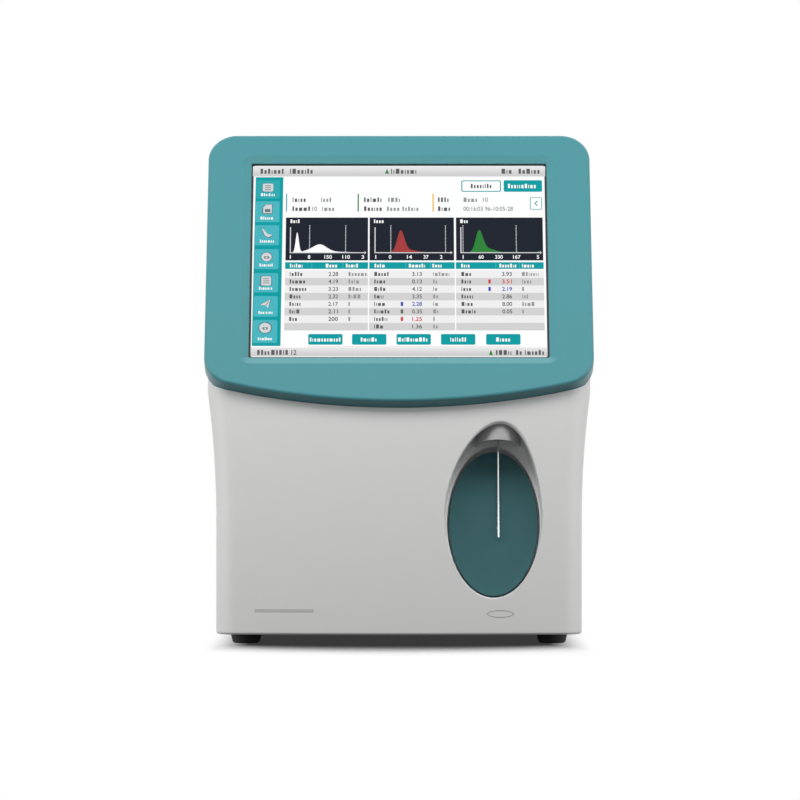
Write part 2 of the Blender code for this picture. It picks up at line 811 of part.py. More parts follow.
def leaning_y(depth, z):
    """Where a plane parallel to the key, depth behind its face, stands at a height."""
    up = (z - KEY_Z + depth * math.sin(LEAN)) / math.cos(LEAN)
    return key_y() + depth * math.cos(LEAN) + up * math.sin(LEAN)


def key_y():
    """The middle of the key's front face, counted back from the body's front."""
    return front_y(KEY_X) + KEY_BOTTOM_DEPTH + KEY_HEIGHT / 2 * math.sin(LEAN)


def scoop(width, height, depth, front):
    """An oval plug whose rear face leans with the key; front gives its front face at x."""
    bm = bmesh.new()
    bmesh.ops.create_cone(
        bm, cap_ends=True, cap_tris=True, segments=2 * SIDES, radius1=1, radius2=1, depth=1
    )
    for vert in bm.verts:
        x = RECESS_X + vert.co.x * width / 2
        z = RECESS_Z + vert.co.y * height / 2
        y = front(x) if vert.co.z < 0 else leaning_y(depth, z)
        vert.co = (x, y, z)
    return to_mesh(bm)


def build_chassis():
    """Base plate, front frame, partition, rear panel and feet."""
    base = body_section(SHELL_BASE_Z, SHELL_WALL + GAP, PANEL_INNER_Y - GAP)
    piece(
        "base_plate",
        plate(base, BASE_THICK, "XY"),
        "zinc_steel",
        (0, 0, SHELL_BASE_Z + GAP + BASE_THICK / 2),
    )
    for side, across in (("left", -1), ("right", 1)):
        for end, along in (("front", -1), ("rear", 1)):
            foot_height = SHELL_BASE_Z
            piece(
                f"foot_{end}_{side}",
                rod(FOOT_BOTTOM_RADIUS, foot_height, "Z", FOOT_TOP_RADIUS, SIDES, FOOT_ROUND),
                "black_rubber",
                (across * FOOT_X, along * FOOT_Y, foot_height / 2),
            )
    half = half_width(FLARE_START_Z, SHELL_WALL + GAP)
    frame_low = BASE_TOP_Z + GAP
    sheet = piece(
        "front_frame",
        span((-half, FRAME_Y, frame_low), (half, FRAME_Y + SHEET, FRAME_TOP_Z)),
        "zinc_steel",
    )
    cut(
        sheet,
        span(
            (PROBE_X - FRAME_WINDOW_LEFT, FRAME_Y - OVERRUN, FRAME_WINDOW_LOW_Z),
            (PROBE_X + FRAME_WINDOW_RIGHT, FRAME_Y + OVERRUN, FRAME_TOP_Z + OVERRUN),
        ),
    )
    slope = 1 / math.tan(BEZEL_TILT)
    behind = (BEZEL_THICK + GAP + SHEET) / math.sin(BEZEL_TILT)
    front = FRAME_Y + SHEET + GAP
    side_view = [
        (front, frame_low),
        (PANEL_INNER_Y - GAP, frame_low),
        (PANEL_INNER_Y - GAP, PARTITION_TOP_Z),
        (FRONT_Y + (PARTITION_TOP_Z - BEZEL_LOW_Z + behind) / slope, PARTITION_TOP_Z),
        (front, BEZEL_LOW_Z + (front - FRONT_Y) * slope - behind),
    ]
    piece("partition", plate(side_view, SHEET, "YZ"), "zinc_steel", (PARTITION_X, 0, 0))
    piece(
        "rear_panel",
        plate(
            front_outline(BASE_TOP_Z + GAP, SHELL_WALL + GAP),
            SHEET,
            "XZ",
            [
                circle(FAN_BORE, (FAN_X, FAN_Z)),
                rectangle(
                    INLET_BODY_WIDTH + 2 * GAP,
                    INLET_BODY_HEIGHT + 2 * GAP,
                    0,
                    (INLET_X, INLET_Z),
                ),
                rectangle(DATA_WIDTH + 2 * GAP, DATA_HEIGHT + 2 * GAP, 0, (DATA_X, DATA_Z)),
            ],
        ),
        "painted_steel",
        (0, PANEL_OUTER_Y - SHEET / 2, 0),
    )


def build_covers(display):
    """Front cover, top cover and left side cover, all cut from one skin."""
    wide = WIDTH_HIGH
    far = BODY_REAR_Y + OVERRUN
    front = FRONT_Y - OVERRUN
    low = SHELL_BASE_Z - OVERRUN
    high = BODY_TOP_Z + OVERRUN
    housing = BEZEL_THICK + GAP + DEPTH / 2
    cover = shell_piece("front_cover", (-wide, front, low), (wide, SPLIT_Y, high))
    top = shell_piece("top_cover", (-wide, SPLIT_Y + GAP, SPLIT_Z), (wide, far, high))
    shell_piece(
        "left_side_cover", (-wide, SPLIT_Y + GAP, low), (0, far, SPLIT_Z - GAP)
    )
    for obj in (cover, top):
        cut(
            obj,
            plate(bezel_outline(GAP), housing),
            (0, BEZEL_THICK + GAP - housing / 2, 0),
            display,
        )

    def inside_wall(x):
        return front_y(x) + SHELL_WALL / 2

    def ahead(_x):
        return FRONT_Y - OVERRUN

    rim = 2 * SHELL_WALL
    deep = FLOOR_DEPTH + SHELL_WALL
    join(cover, scoop(RECESS_WIDTH + rim, RECESS_HEIGHT + rim, deep, inside_wall))
    cut(cover, scoop(RECESS_WIDTH, RECESS_HEIGHT, FLOOR_DEPTH, ahead))
    return cover


def build_display(display):
    """The leaning display: housing, gasket, glass, module and its rear plate."""
    bezel = piece(
        "screen_bezel",
        plate(bezel_outline(), BEZEL_THICK, "XZ", (), BEZEL_ROUND),
        "teal_plastic",
        (0, BEZEL_THICK / 2, 0),
        display,
    )
    hollow = BEZEL_THICK - BEZEL_WALL + OVERRUN
    cut(
        bezel,
        plate(bezel_outline(-BEZEL_WALL), hollow),
        (0, BEZEL_WALL + hollow / 2, 0),
        display,
    )
    middle = (0, SCREEN_MIDDLE)
    spread = CHAMFER_WIDTH * (1 + OVERRUN / CHAMFER_DEPTH)
    wide, high = WINDOW_WIDTH, WINDOW_HEIGHT
    mouth = rectangle(wide + 2 * spread, high + 2 * spread, WINDOW_CORNER + spread, middle)
    throat = rectangle(wide, high, WINDOW_CORNER, middle)
    sections = [(-OVERRUN, mouth), (CHAMFER_DEPTH, throat), (BEZEL_WALL + OVERRUN, throat)]
    cut(bezel, loft(sections), (0, 0, 0), display)

    depth = BEZEL_WALL + GAP
    wide = SCREEN_WIDTH + 2 * GASKET_BORDER
    high = SCREEN_HEIGHT + 2 * GASKET_BORDER
    layers = (
        ("screen_gasket", "black_rubber", GASKET_THICK, wide, high, True),
        ("touch_glass", "screen_glass", GLASS_THICK, wide, high, False),
        (
            "lcd_module",
            "zinc_steel",
            LCD_THICK,
            wide + 2 * LCD_BORDER,
            high + 2 * LCD_BORDER,
            False,
        ),
    )
    for name, finish, thick, across, up, ring in layers:
        holes = [rectangle(SCREEN_WIDTH, SCREEN_HEIGHT)] if ring else []
        piece(
            name,
            plate(rectangle(across, up), thick, "XZ", holes),
            finish,
            (0, depth + thick / 2, SCREEN_MIDDLE),
            display,
        )
        depth += thick + GAP
    piece(
        "display_plate",
        plate(bezel_outline(-BEZEL_WALL - GAP), DISPLAY_PLATE_THICK),
        "zinc_steel",
        (0, depth + DISPLAY_PLATE_THICK / 2, 0),
        display,
    )


def build_key(lean, cover):
    """The oval aspirate key, its stem, and the switch behind it."""
    oval = [(KEY_WIDTH / 2 * x, KEY_HEIGHT / 2 * z) for x, z in circle(1, sides=2 * SIDES)]
    key = piece(
        "aspirate_key",
        plate(oval, KEY_THICK, "XZ", (), KEY_ROUND),
        "dark_teal_plastic",
        (0, KEY_THICK / 2, 0),
        lean,
    )
    switch_front = FRAME_Y - GAP - SWITCH_DEPTH
    travelled = key_y() + KEY_TRAVEL * math.cos(LEAN) + KEY_STEM_RADIUS * math.sin(LEAN)
    length = (switch_front - GAP - travelled) / math.cos(LEAN) - KEY_THICK
    stem = length + EMBED
    middle = KEY_THICK - EMBED + stem / 2
    join(key, rod(KEY_STEM_RADIUS, stem, "Y", None, SMALL_SIDES), (0, middle, 0), lean)
    hole = KEY_STEM_RADIUS + GAP
    cut(
        cover,
        rod(hole, SHELL_WALL + 2 * OVERRUN, "Y"),
        (0, FLOOR_DEPTH + SHELL_WALL / 2, 0),
        lean,
    )
    end = KEY_THICK + length
    piece(
        "key_switch",
        block(SWITCH_WIDTH, SWITCH_DEPTH, SWITCH_HEIGHT),
        "black_plastic",
        (KEY_X, FRAME_Y - GAP - SWITCH_DEPTH / 2, KEY_Z - end * math.sin(LEAN)),
    )


def build_visor(lean, cover):
    """The domed visor over the probe, and the wipe block inside it."""
    bm = bmesh.new()
    bmesh.ops.create_uvsphere(bm, u_segments=2 * VISOR_RINGS, v_segments=VISOR_RINGS, radius=1)
    for direction in ((0, 0, -1), (0, 1, 0)):
        bmesh.ops.bisect_plane(
            bm,
            geom=[*bm.verts, *bm.edges, *bm.faces],
            dist=MERGE,
            plane_co=(0, 0, 0),
            plane_no=direction,
            clear_outer=True,
        )
    bmesh.ops.scale(bm, vec=(VISOR_HALF_WIDTH, VISOR_REACH, VISOR_HEIGHT), verts=bm.verts)
    mesh = bpy.data.meshes.new("visor")
    bm.to_mesh(mesh)
    bm.free()
    seat = FLOOR_DEPTH - GAP
    visor = piece(
        "probe_visor", mesh, "grey_plastic", (VISOR_X - KEY_X, seat, VISOR_RISE), lean
    )
    wall = visor.modifiers.new("wall", "SOLIDIFY")
    wall.thickness = VISOR_WALL
    wall.offset = -1
    wall.use_even_offset = True
    probe = PROBE_X - KEY_X
    shaft = PROBE_RADIUS + PROBE_BORE_CLEARANCE
    rise = VISOR_RISE + VISOR_HEIGHT
    cut(visor, rod(shaft, VISOR_HEIGHT, "Z", None, SMALL_SIDES), (probe, PROBE_DEPTH, rise), lean)
    cut(
        cover,
        rod(PROBE_PASSAGE_RADIUS, 2 * VISOR_HEIGHT, "Z", None, SMALL_SIDES),
        (probe, PROBE_DEPTH, rise + VISOR_HEIGHT / 2),
        lean,
    )
    wipe = piece(
        "probe_wipe_block",
        block(WIPE_WIDTH, WIPE_DEPTH, WIPE_HEIGHT),
        "clear_plastic",
        (probe, seat - WIPE_DEPTH / 2, VISOR_RISE + WIPE_LIFT + WIPE_HEIGHT / 2),
        lean,
    )
    cut(
        wipe,
        rod(shaft, 2 * WIPE_HEIGHT, "Z", None, SMALL_SIDES),
        (probe, PROBE_DEPTH, VISOR_RISE + WIPE_LIFT + WIPE_HEIGHT / 2),
        lean,
    )


def build_lift(lean):
    """The probe, its carriage on a rail, and the belt, pulleys and motor that lift it."""
    probe = PROBE_X - KEY_X
    length = PROBE_TOP_RISE - PROBE_TIP_RISE
    hub = PROBE_HUB_HEIGHT
    turned(
        "sample_probe",
        [
            (0, hub),
            (PROBE_HUB_RADIUS, hub),
            (PROBE_HUB_RADIUS, 0),
            (PROBE_RADIUS, 0),
            (PROBE_RADIUS, PROBE_POINT_LENGTH - length),
            (PROBE_POINT_RADIUS, -length),
            (0, -length),
        ],
        "stainless",
        (probe, PROBE_DEPTH, PROBE_TOP_RISE),
        lean,
        "Z",
        SMALL_SIDES,
    )
    rear = RAIL_DEPTH + RAIL_OVERLAP
    nose = PROBE_DEPTH - CARRIAGE_NOSE
    middle = CARRIAGE_RISE + CARRIAGE_HEIGHT / 2
    carriage = piece(
        "probe_carriage",
        block(CARRIAGE_WIDTH, rear - nose, CARRIAGE_HEIGHT, GAP),
        "aluminium",
        (probe, (rear + nose) / 2, middle),
        lean,
    )
    groove = RAIL_OVERLAP + GAP + OVERRUN
    cut(
        carriage,
        block(RAIL_WIDTH + 2 * GAP, groove, 2 * CARRIAGE_HEIGHT),
        (probe, RAIL_DEPTH - GAP + groove / 2, middle),
        lean,
    )
    cut(
        carriage,
        rod(PROBE_RADIUS + GAP, 2 * CARRIAGE_HEIGHT, "Z", None, SMALL_SIDES),
        (probe, PROBE_DEPTH, middle),
        lean,
    )
    run = PULLEY_OFFSET - PULLEY_RADIUS - BELT_THICK - GAP
    ear = run - CARRIAGE_WIDTH / 2 + EMBED
    join(
        carriage,
        block(ear, BELT_WIDTH, CLAMP_HEIGHT),
        (probe + run - ear / 2, BELT_MIDDLE, middle),
        lean,
    )
    piece(
        "probe_rail",
        block(RAIL_WIDTH, RAIL_THICK, RAIL_LENGTH),
        "stainless",
        (probe, RAIL_DEPTH + RAIL_THICK / 2, RAIL_RISE + RAIL_LENGTH / 2),
        lean,
    )
    left, right = probe - LIFT_PLATE_LEFT, probe + LIFT_PLATE_RIGHT
    rail_end = RAIL_RISE + RAIL_LENGTH
    lift = piece(
        "lift_bracket",
        block(right - left, LIFT_PLATE_THICK, RAIL_LENGTH),
        "zinc_steel",
        ((left + right) / 2, LIFT_PLATE_DEPTH + LIFT_PLATE_THICK / 2, rail_end - RAIL_LENGTH / 2),
        lean,
    )
    seat = FRAME_Y + SHEET + GAP
    into = LIFT_PLATE_DEPTH + LIFT_PLATE_THICK / 2
    gusset = [
        (seat, GUSSET_LOW_Z),
        (leaning_y(into, GUSSET_LOW_Z), GUSSET_LOW_Z),
        (leaning_y(into, GUSSET_HIGH_Z), GUSSET_HIGH_Z),
        (seat, GUSSET_HIGH_Z),
    ]
    for edge in (PROBE_X - LIFT_PLATE_LEFT, PROBE_X + LIFT_PLATE_RIGHT - GUSSET_THICK):
        join(lift, plate(gusset, GUSSET_THICK, "YZ"), (edge + GUSSET_THICK / 2, 0, 0))
    tabs = (
        (
            PROBE_X - FRAME_WINDOW_LEFT - GUSSET_THICK,
            PROBE_X - LIFT_PLATE_LEFT + GUSSET_THICK,
        ),
        (
            PROBE_X + LIFT_PLATE_RIGHT - GUSSET_THICK,
            PROBE_X + FRAME_WINDOW_RIGHT + GUSSET_THICK,
        ),
    )
    for start, end in tabs:
        join(
            lift,
            span((start, seat, GUSSET_LOW_Z), (end, seat + GUSSET_THICK, GUSSET_HIGH_Z)),
        )

    offset = probe + PULLEY_OFFSET
    shaft = LIFT_PLATE_DEPTH - GAP - BELT_MIDDLE
    for name, rise in (("idler_pulley", PULLEY_LOW_RISE), ("drive_pulley", PULLEY_HIGH_RISE)):
        half = BELT_WIDTH / 2
        turned(
            name,
            [
                (0, shaft),
                (PULLEY_SHAFT_RADIUS, shaft),
                (PULLEY_SHAFT_RADIUS, half),
                (PULLEY_RADIUS - GAP, half),
                (PULLEY_RADIUS - GAP, -half),
                (0, -half),
            ],
            "aluminium",
            (offset, BELT_MIDDLE, rise),
            lean,
            "Y",
        )
    outer = PULLEY_RADIUS + BELT_THICK

    def loop(radius):
        upper = circle(radius, (0, PULLEY_HIGH_RISE), SMALL_SIDES, 0, math.pi)
        lower = circle(radius, (0, PULLEY_LOW_RISE), SMALL_SIDES, math.pi, 2 * math.pi)
        return upper + lower

    piece(
        "lift_belt",
        plate(loop(outer), BELT_WIDTH, "XZ", [loop(PULLEY_RADIUS)]),
        "black_rubber",
        (offset, BELT_MIDDLE, 0),
        lean,
    )
    back = LIFT_PLATE_DEPTH + LIFT_PLATE_THICK + GAP
    piece(
        "lift_motor",
        block(MOTOR_SIZE, MOTOR_LENGTH, MOTOR_SIZE, MOTOR_ROUND),
        "black_plastic",
        (offset, back + MOTOR_LENGTH / 2, PULLEY_HIGH_RISE - MOTOR_SIZE / 4),
        lean,
    )


def build_door():
    """The service door with its hinges, pins, latch and catch."""
    door = shell_piece(
        "service_door",
        (0, SPLIT_Y + GAP, SHELL_BASE_Z + DOOR_LIFT),
        (WIDTH_HIGH, BODY_REAR_Y + OVERRUN, SPLIT_Z - GAP),
    )
    bore = PIN_RADIUS + PIN_CLEARANCE
    leaf_x = HINGE_X - HINGE_LEAF_WIDTH
    for name, height in zip(("lower", "upper"), HINGE_Z):
        upper = height + KNUCKLE_LENGTH / 2 + GAP / 2
        lower = height - KNUCKLE_LENGTH / 2 - GAP / 2
        arm_x = half_width(height + KNUCKLE_LENGTH) - SHELL_WALL
        join(
            door,
            span(
                (arm_x, HINGE_Y - HINGE_ARM_REACH, height + GAP / 2),
                (arm_x + HINGE_ARM_THICK, HINGE_Y, height + KNUCKLE_LENGTH + GAP / 2),
            ),
        )
        join(
            door,
            rod(KNUCKLE_RADIUS, KNUCKLE_LENGTH, "Z", None, SMALL_SIDES),
            (HINGE_X, HINGE_Y, upper),
        )
        cut(door, rod(bore, 2 * KNUCKLE_LENGTH, sides=SMALL_SIDES), (HINGE_X, HINGE_Y, upper))
        leaf = piece(
            f"{name}_hinge_leaf",
            span(
                (leaf_x, BODY_REAR_Y + GAP, height - KNUCKLE_LENGTH),
                (HINGE_X, BODY_REAR_Y + GAP + HINGE_LEAF_THICK, height - GAP / 2),
            ),
            "stainless",
        )
        join(
            leaf,
            span(
                (leaf_x, PANEL_OUTER_Y + GAP, height - KNUCKLE_LENGTH),
                (leaf_x + HINGE_PAD_WIDTH, BODY_REAR_Y + 2 * GAP, height - GAP / 2),
            ),
        )
        join(
            leaf,
            rod(KNUCKLE_RADIUS, KNUCKLE_LENGTH, "Z", None, SMALL_SIDES),
            (HINGE_X, HINGE_Y, lower),
        )
        cut(leaf, rod(bore, 2 * KNUCKLE_LENGTH, sides=SMALL_SIDES), (HINGE_X, HINGE_Y, lower))
        length = KNUCKLE_LENGTH + GAP
        turned(
            f"{name}_hinge_pin",
            [
                (0, length + PIN_HEAD),
                (KNUCKLE_RADIUS, length + PIN_HEAD),
                (KNUCKLE_RADIUS, length),
                (PIN_RADIUS, length),
                (PIN_RADIUS, -length),
                (0, -length),
            ],
            "stainless",
            (HINGE_X, HINGE_Y, height),
            None,
            "Z",
            SMALL_SIDES,
        )
    outer = half_width(LATCH_Z)
    behind = outer - SHELL_WALL - GAP
    flange_x = behind - LATCH_FLANGE_THICK
    latch = piece(
        "door_latch",
        rod(LATCH_HEAD_RADIUS, outer - flange_x, "X"),
        "grey_plastic",
        ((outer + flange_x) / 2, LATCH_Y, LATCH_Z),
    )
    join(
        latch,
        rod(LATCH_FLANGE_RADIUS, LATCH_FLANGE_THICK, "X"),
        ((behind + flange_x) / 2, LATCH_Y, LATCH_Z),
    )
    join(
        latch,
        rod(LATCH_SHAFT_RADIUS, behind - CAM_X, "X", None, SMALL_SIDES),
        ((behind + CAM_X) / 2, LATCH_Y, LATCH_Z),
    )
    join(
        latch,
        span(
            (CAM_X, LATCH_Y - CAM_WIDTH / 2, LATCH_Z - CAM_LENGTH),
            (CAM_X + CAM_THICK, LATCH_Y + CAM_WIDTH / 2, LATCH_Z + CAM_WIDTH / 2),
        ),
    )
    cut(
        latch,
        block(2 * LATCH_SLOT_DEPTH, LATCH_SLOT_WIDTH, LATCH_SLOT_LENGTH),
        (outer, LATCH_Y, LATCH_Z),
    )
    cut(
        door,
        rod(LATCH_HEAD_RADIUS + GAP, 2 * OVERRUN, "X"),
        (outer, LATCH_Y, LATCH_Z),
    )
    catch_x = CAM_X + CAM_THICK + CATCH_SLACK
    seat = FRAME_Y + SHEET + GAP
    low, high = LATCH_Z - CATCH_HEIGHT / 2, LATCH_Z + CATCH_HEIGHT / 2
    catch = piece(
        "latch_catch",
        span((catch_x, seat, low), (catch_x + CATCH_THICK, seat + CATCH_REACH, high)),
        "zinc_steel",
    )
    join(
        catch,
        span(
            (catch_x - CATCH_FOOT, seat, low),
            (catch_x + CATCH_THICK, seat + CATCH_THICK, high),
        ),
    )


def build_baths():
    """Two mixing baths hung in a shelf from the partition."""
    low, high = SHELF_Z - SHELF_FLANGE, SHELF_Z
    shelf = piece(
        "bath_shelf",
        span(
            (PARTITION_FACE, SHELF_FRONT_Y, SHELF_Z - SHELF_THICK),
            (PARTITION_FACE + SHELF_LENGTH, SHELF_BACK_Y, SHELF_Z),
        ),
        "zinc_steel",
    )
    join(
        shelf,
        span(
            (PARTITION_FACE, SHELF_FRONT_Y, low),
            (PARTITION_FACE + SHELF_THICK, SHELF_BACK_Y, high),
        ),
    )
    inner = BATH_RADIUS - BATH_WALL
    rim = BATH_RIM_THICK
    neck = -BATH_DEPTH - BATH_NECK
    floor = -BATH_DEPTH + BATH_WALL
    for name, y in zip(("white_cell_bath", "red_cell_bath"), BATH_Y):
        cut(
            shelf,
            rod(BATH_RADIUS + GAP, 2 * OVERRUN, "Z"),
            (BATH_X, y, SHELF_Z),
        )
        turned(
            name,
            [
                (0, floor - BATH_NECK / 2),
                (inner, floor),
                (inner, rim),
                (BATH_RIM_RADIUS, rim),
                (BATH_RIM_RADIUS, 0),
                (BATH_RADIUS, 0),
                (BATH_RADIUS, -BATH_DEPTH),
                (BATH_SPOUT_RADIUS, neck),
                (BATH_SPOUT_RADIUS, neck - BATH_SPOUT_LENGTH),
                (0, neck - BATH_SPOUT_LENGTH),
            ],
            "clear_plastic",
            (BATH_X, y, SHELF_Z + GAP),
        )


def build_syringe():
    """The metering syringe: bracket, glass barrel, plunger with its screw, and motor."""
    inner = PARTITION_FACE
    bracket = piece(
        "syringe_bracket",
        span(
            (inner, SYRINGE_Y - SYRINGE_PLATE_WIDTH / 2, SYRINGE_PLATE_LOW_Z),
            (inner + SHEET, SYRINGE_Y + SYRINGE_PLATE_WIDTH / 2, SYRINGE_PLATE_HIGH_Z),
        ),
        "zinc_steel",
    )
    reach = SYRINGE_X + CLAMP_BLOCK / 2
    join(
        bracket,
        span(
            (inner, SYRINGE_Y - CLAMP_BLOCK / 2, CLAMP_BLOCK_Z),
            (reach, SYRINGE_Y + CLAMP_BLOCK / 2, CLAMP_BLOCK_Z + CLAMP_BLOCK_HEIGHT),
        ),
    )
    at = (SYRINGE_X, SYRINGE_Y, CLAMP_BLOCK_Z)
    cut(bracket, rod(BARREL_RADIUS + GAP, 4 * CLAMP_BLOCK_HEIGHT), at)
    top = BARREL_HIGH_Z - BARREL_LOW_Z
    turned(
        "syringe_barrel",
        [
            (0, top + BARREL_TIP_LENGTH),
            (BARREL_TIP_RADIUS, top + BARREL_TIP_LENGTH),
            (BARREL_TIP_RADIUS, top),
            (BARREL_RADIUS, top),
            (BARREL_RADIUS, 0),
            (BARREL_BORE, 0),
            (BARREL_BORE, top - BARREL_CAP),
            (0, top - BARREL_CAP),
        ],
        "clear_plastic",
        (SYRINGE_X, SYRINGE_Y, BARREL_LOW_Z),
    )
    turned(
        "syringe_plunger",
        [
            (0, PLUNGER_TIP_Z - YOKE_Z),
            (PLUNGER_RADIUS, PLUNGER_TIP_Z - YOKE_Z),
            (PLUNGER_RADIUS, YOKE_HEIGHT),
            (YOKE_RADIUS, YOKE_HEIGHT),
            (YOKE_RADIUS, 0),
            (SCREW_RADIUS, 0),
            (SCREW_RADIUS, SCREW_END_Z - YOKE_Z),
            (0, SCREW_END_Z - YOKE_Z),
        ],
        "stainless",
        (SYRINGE_X, SYRINGE_Y, YOKE_Z),
    )
    motor = piece(
        "syringe_motor",
        block(MOTOR_SIZE, MOTOR_SIZE, SYRINGE_MOTOR_HEIGHT),
        "black_plastic",
        (SYRINGE_X, SYRINGE_Y, SYRINGE_MOTOR_Z + SYRINGE_MOTOR_HEIGHT / 2),
    )
    cut(
        motor,
        rod(SCREW_RADIUS + SCREW_CLEARANCE, 2 * SYRINGE_MOTOR_HEIGHT, sides=SMALL_SIDES),
        (SYRINGE_X, SYRINGE_Y, SYRINGE_MOTOR_Z + SYRINGE_MOTOR_HEIGHT / 2),
    )


def build_pump():
    """The peristaltic pump: housing, roller rotor, and its motor beyond the partition."""
    start = PARTITION_FACE
    middle = start + PUMP_DEPTH / 2
    housing = piece(
        "pump_housing",
        block(PUMP_DEPTH, PUMP_SIZE, PUMP_SIZE, GAP),
        "grey_plastic",
        (middle, PUMP_Y, PUMP_Z),
    )
    chamber = PUMP_DEPTH - PUMP_WALL + OVERRUN
    cut(
        housing,
        rod(PUMP_CHAMBER_RADIUS, chamber, "X"),
        (start + PUMP_WALL + chamber / 2, PUMP_Y, PUMP_Z),
    )
    cut(
        housing,
        rod(PUMP_SHAFT_RADIUS + GAP, 4 * PUMP_WALL, "X", None, SMALL_SIDES),
        (start, PUMP_Y, PUMP_Z),
    )
    for side in (-1, 1):
        join(
            housing,
            rod(PUMP_PORT_RADIUS, PUMP_PORT_LENGTH + EMBED, "Z", None, SMALL_SIDES),
            (
                middle,
                PUMP_Y + side * PUMP_PORT_SPREAD,
                PUMP_Z + PUMP_SIZE / 2 + PUMP_PORT_LENGTH / 2 - EMBED / 2,
            ),
        )
    disc_x = start + PUMP_WALL + GAP + PUMP_ROTOR_DISC / 2
    rotor = piece(
        "pump_rotor",
        rod(PUMP_ROTOR_RADIUS, PUMP_ROTOR_DISC, "X"),
        "black_plastic",
        (disc_x, PUMP_Y, PUMP_Z),
    )
    roller = PUMP_ROLLER_LENGTH + EMBED
    roller_x = disc_x + PUMP_ROTOR_DISC / 2 - EMBED + roller / 2
    for step in range(PUMP_ROLLERS):
        angle = 2 * math.pi * step / PUMP_ROLLERS
        join(
            rotor,
            rod(PUMP_ROLLER_RADIUS, roller, "X", None, SMALL_SIDES),
            (
                roller_x,
                PUMP_Y + PUMP_ROLLER_CIRCLE * math.sin(angle),
                PUMP_Z + PUMP_ROLLER_CIRCLE * math.cos(angle),
            ),
        )
    join(rotor, rod(2 * PUMP_SHAFT_RADIUS, roller, "X"), (roller_x, PUMP_Y, PUMP_Z))
    shaft = PUMP_WALL + EMBED
    join(
        rotor,
        rod(PUMP_SHAFT_RADIUS, shaft, "X", None, SMALL_SIDES),
        (disc_x - PUMP_ROTOR_DISC / 2 + EMBED - shaft / 2, PUMP_Y, PUMP_Z),
    )
    piece(
        "pump_motor",
        rod(PUMP_MOTOR_RADIUS, PUMP_MOTOR_LENGTH, "X", None, SIDES, GAP),
        "zinc_steel",
        (PARTITION_BACK - PUMP_MOTOR_LENGTH / 2, PUMP_Y, PUMP_Z),
    )


def build_valves():
    """A valve block on the partition, and the two tubes that lead to it."""
    valves = piece(
        "valve_block",
        span(
            (PARTITION_FACE, VALVE_Y - VALVE_LENGTH / 2, VALVE_Z),
            (PARTITION_FACE + VALVE_DEPTH, VALVE_Y + VALVE_LENGTH / 2, VALVE_Z + VALVE_HEIGHT),
        ),
        "white_plastic",
    )
    pitch = VALVE_LENGTH / VALVE_COUNT
    coil = VALVE_COIL_LENGTH + EMBED
    for step in range(VALVE_COUNT):
        y = VALVE_Y + pitch * (step - (VALVE_COUNT - 1) / 2)
        join(
            valves,
            rod(VALVE_COIL_RADIUS, coil, "X"),
            (
                PARTITION_FACE + VALVE_DEPTH - EMBED + coil / 2,
                y,
                VALVE_Z + VALVE_HEIGHT / 2,
            ),
        )
    diluent = [(x, PANEL_INNER_Y + y, z) for x, y, z in DILUENT_ROUTE]
    tube("diluent_tube", diluent, TUBE_RADIUS, "clear_plastic")
    port_y = PUMP_Y - PUMP_PORT_SPREAD
    waste = [(BATH_X + x, BATH_Y[0] + y, z) for x, y, z in WASTE_START]
    waste += [(x, port_y + y, z) for x, y, z in WASTE_END]
    tube("waste_tube", waste, TUBE_RADIUS, "clear_plastic")


def build_electronics():
    """Power supply and main board."""
    piece(
        "power_supply",
        block(SUPPLY_WIDTH, SUPPLY_DEPTH, SUPPLY_HEIGHT, SHEET),
        "zinc_steel",
        (SUPPLY_X, SUPPLY_Y, BASE_TOP_Z + GAP + SUPPLY_HEIGHT / 2),
    )
    face = PARTITION_BACK - BOARD_STANDOFF
    middle = BOARD_LOW_Z + BOARD_HEIGHT / 2
    board = piece(
        "main_board",
        block(BOARD_THICK, BOARD_LENGTH, BOARD_HEIGHT),
        "circuit_board",
        (face - BOARD_THICK / 2, BOARD_Y, middle),
    )
    post = BOARD_STANDOFF + EMBED
    inset = 2 * BOARD_STANDOFF_RADIUS
    for along in (-1, 1):
        for up in (-1, 1):
            join(
                board,
                rod(BOARD_STANDOFF_RADIUS, post, "X", None, SMALL_SIDES),
                (
                    face - EMBED + post / 2,
                    BOARD_Y + along * (BOARD_LENGTH / 2 - inset),
                    middle + up * (BOARD_HEIGHT / 2 - inset),
                ),
            )
    outer = face - BOARD_THICK
    for shift in (-1, 1):
        thick = CHIP_THICK + EMBED
        join(
            board,
            block(thick, CHIP_SIZE, CHIP_SIZE),
            (outer + EMBED - thick / 2, BOARD_Y + shift * CHIP_SIZE, middle),
        )
        deep = BOARD_PLUG_DEPTH + EMBED
        join(
            board,
            block(deep, BOARD_PLUG_LENGTH, BOARD_PLUG_HEIGHT),
            (
                outer + EMBED - deep / 2,
                BOARD_Y,
                middle + shift * (BOARD_HEIGHT / 2 - BOARD_PLUG_HEIGHT),
            ),
        )


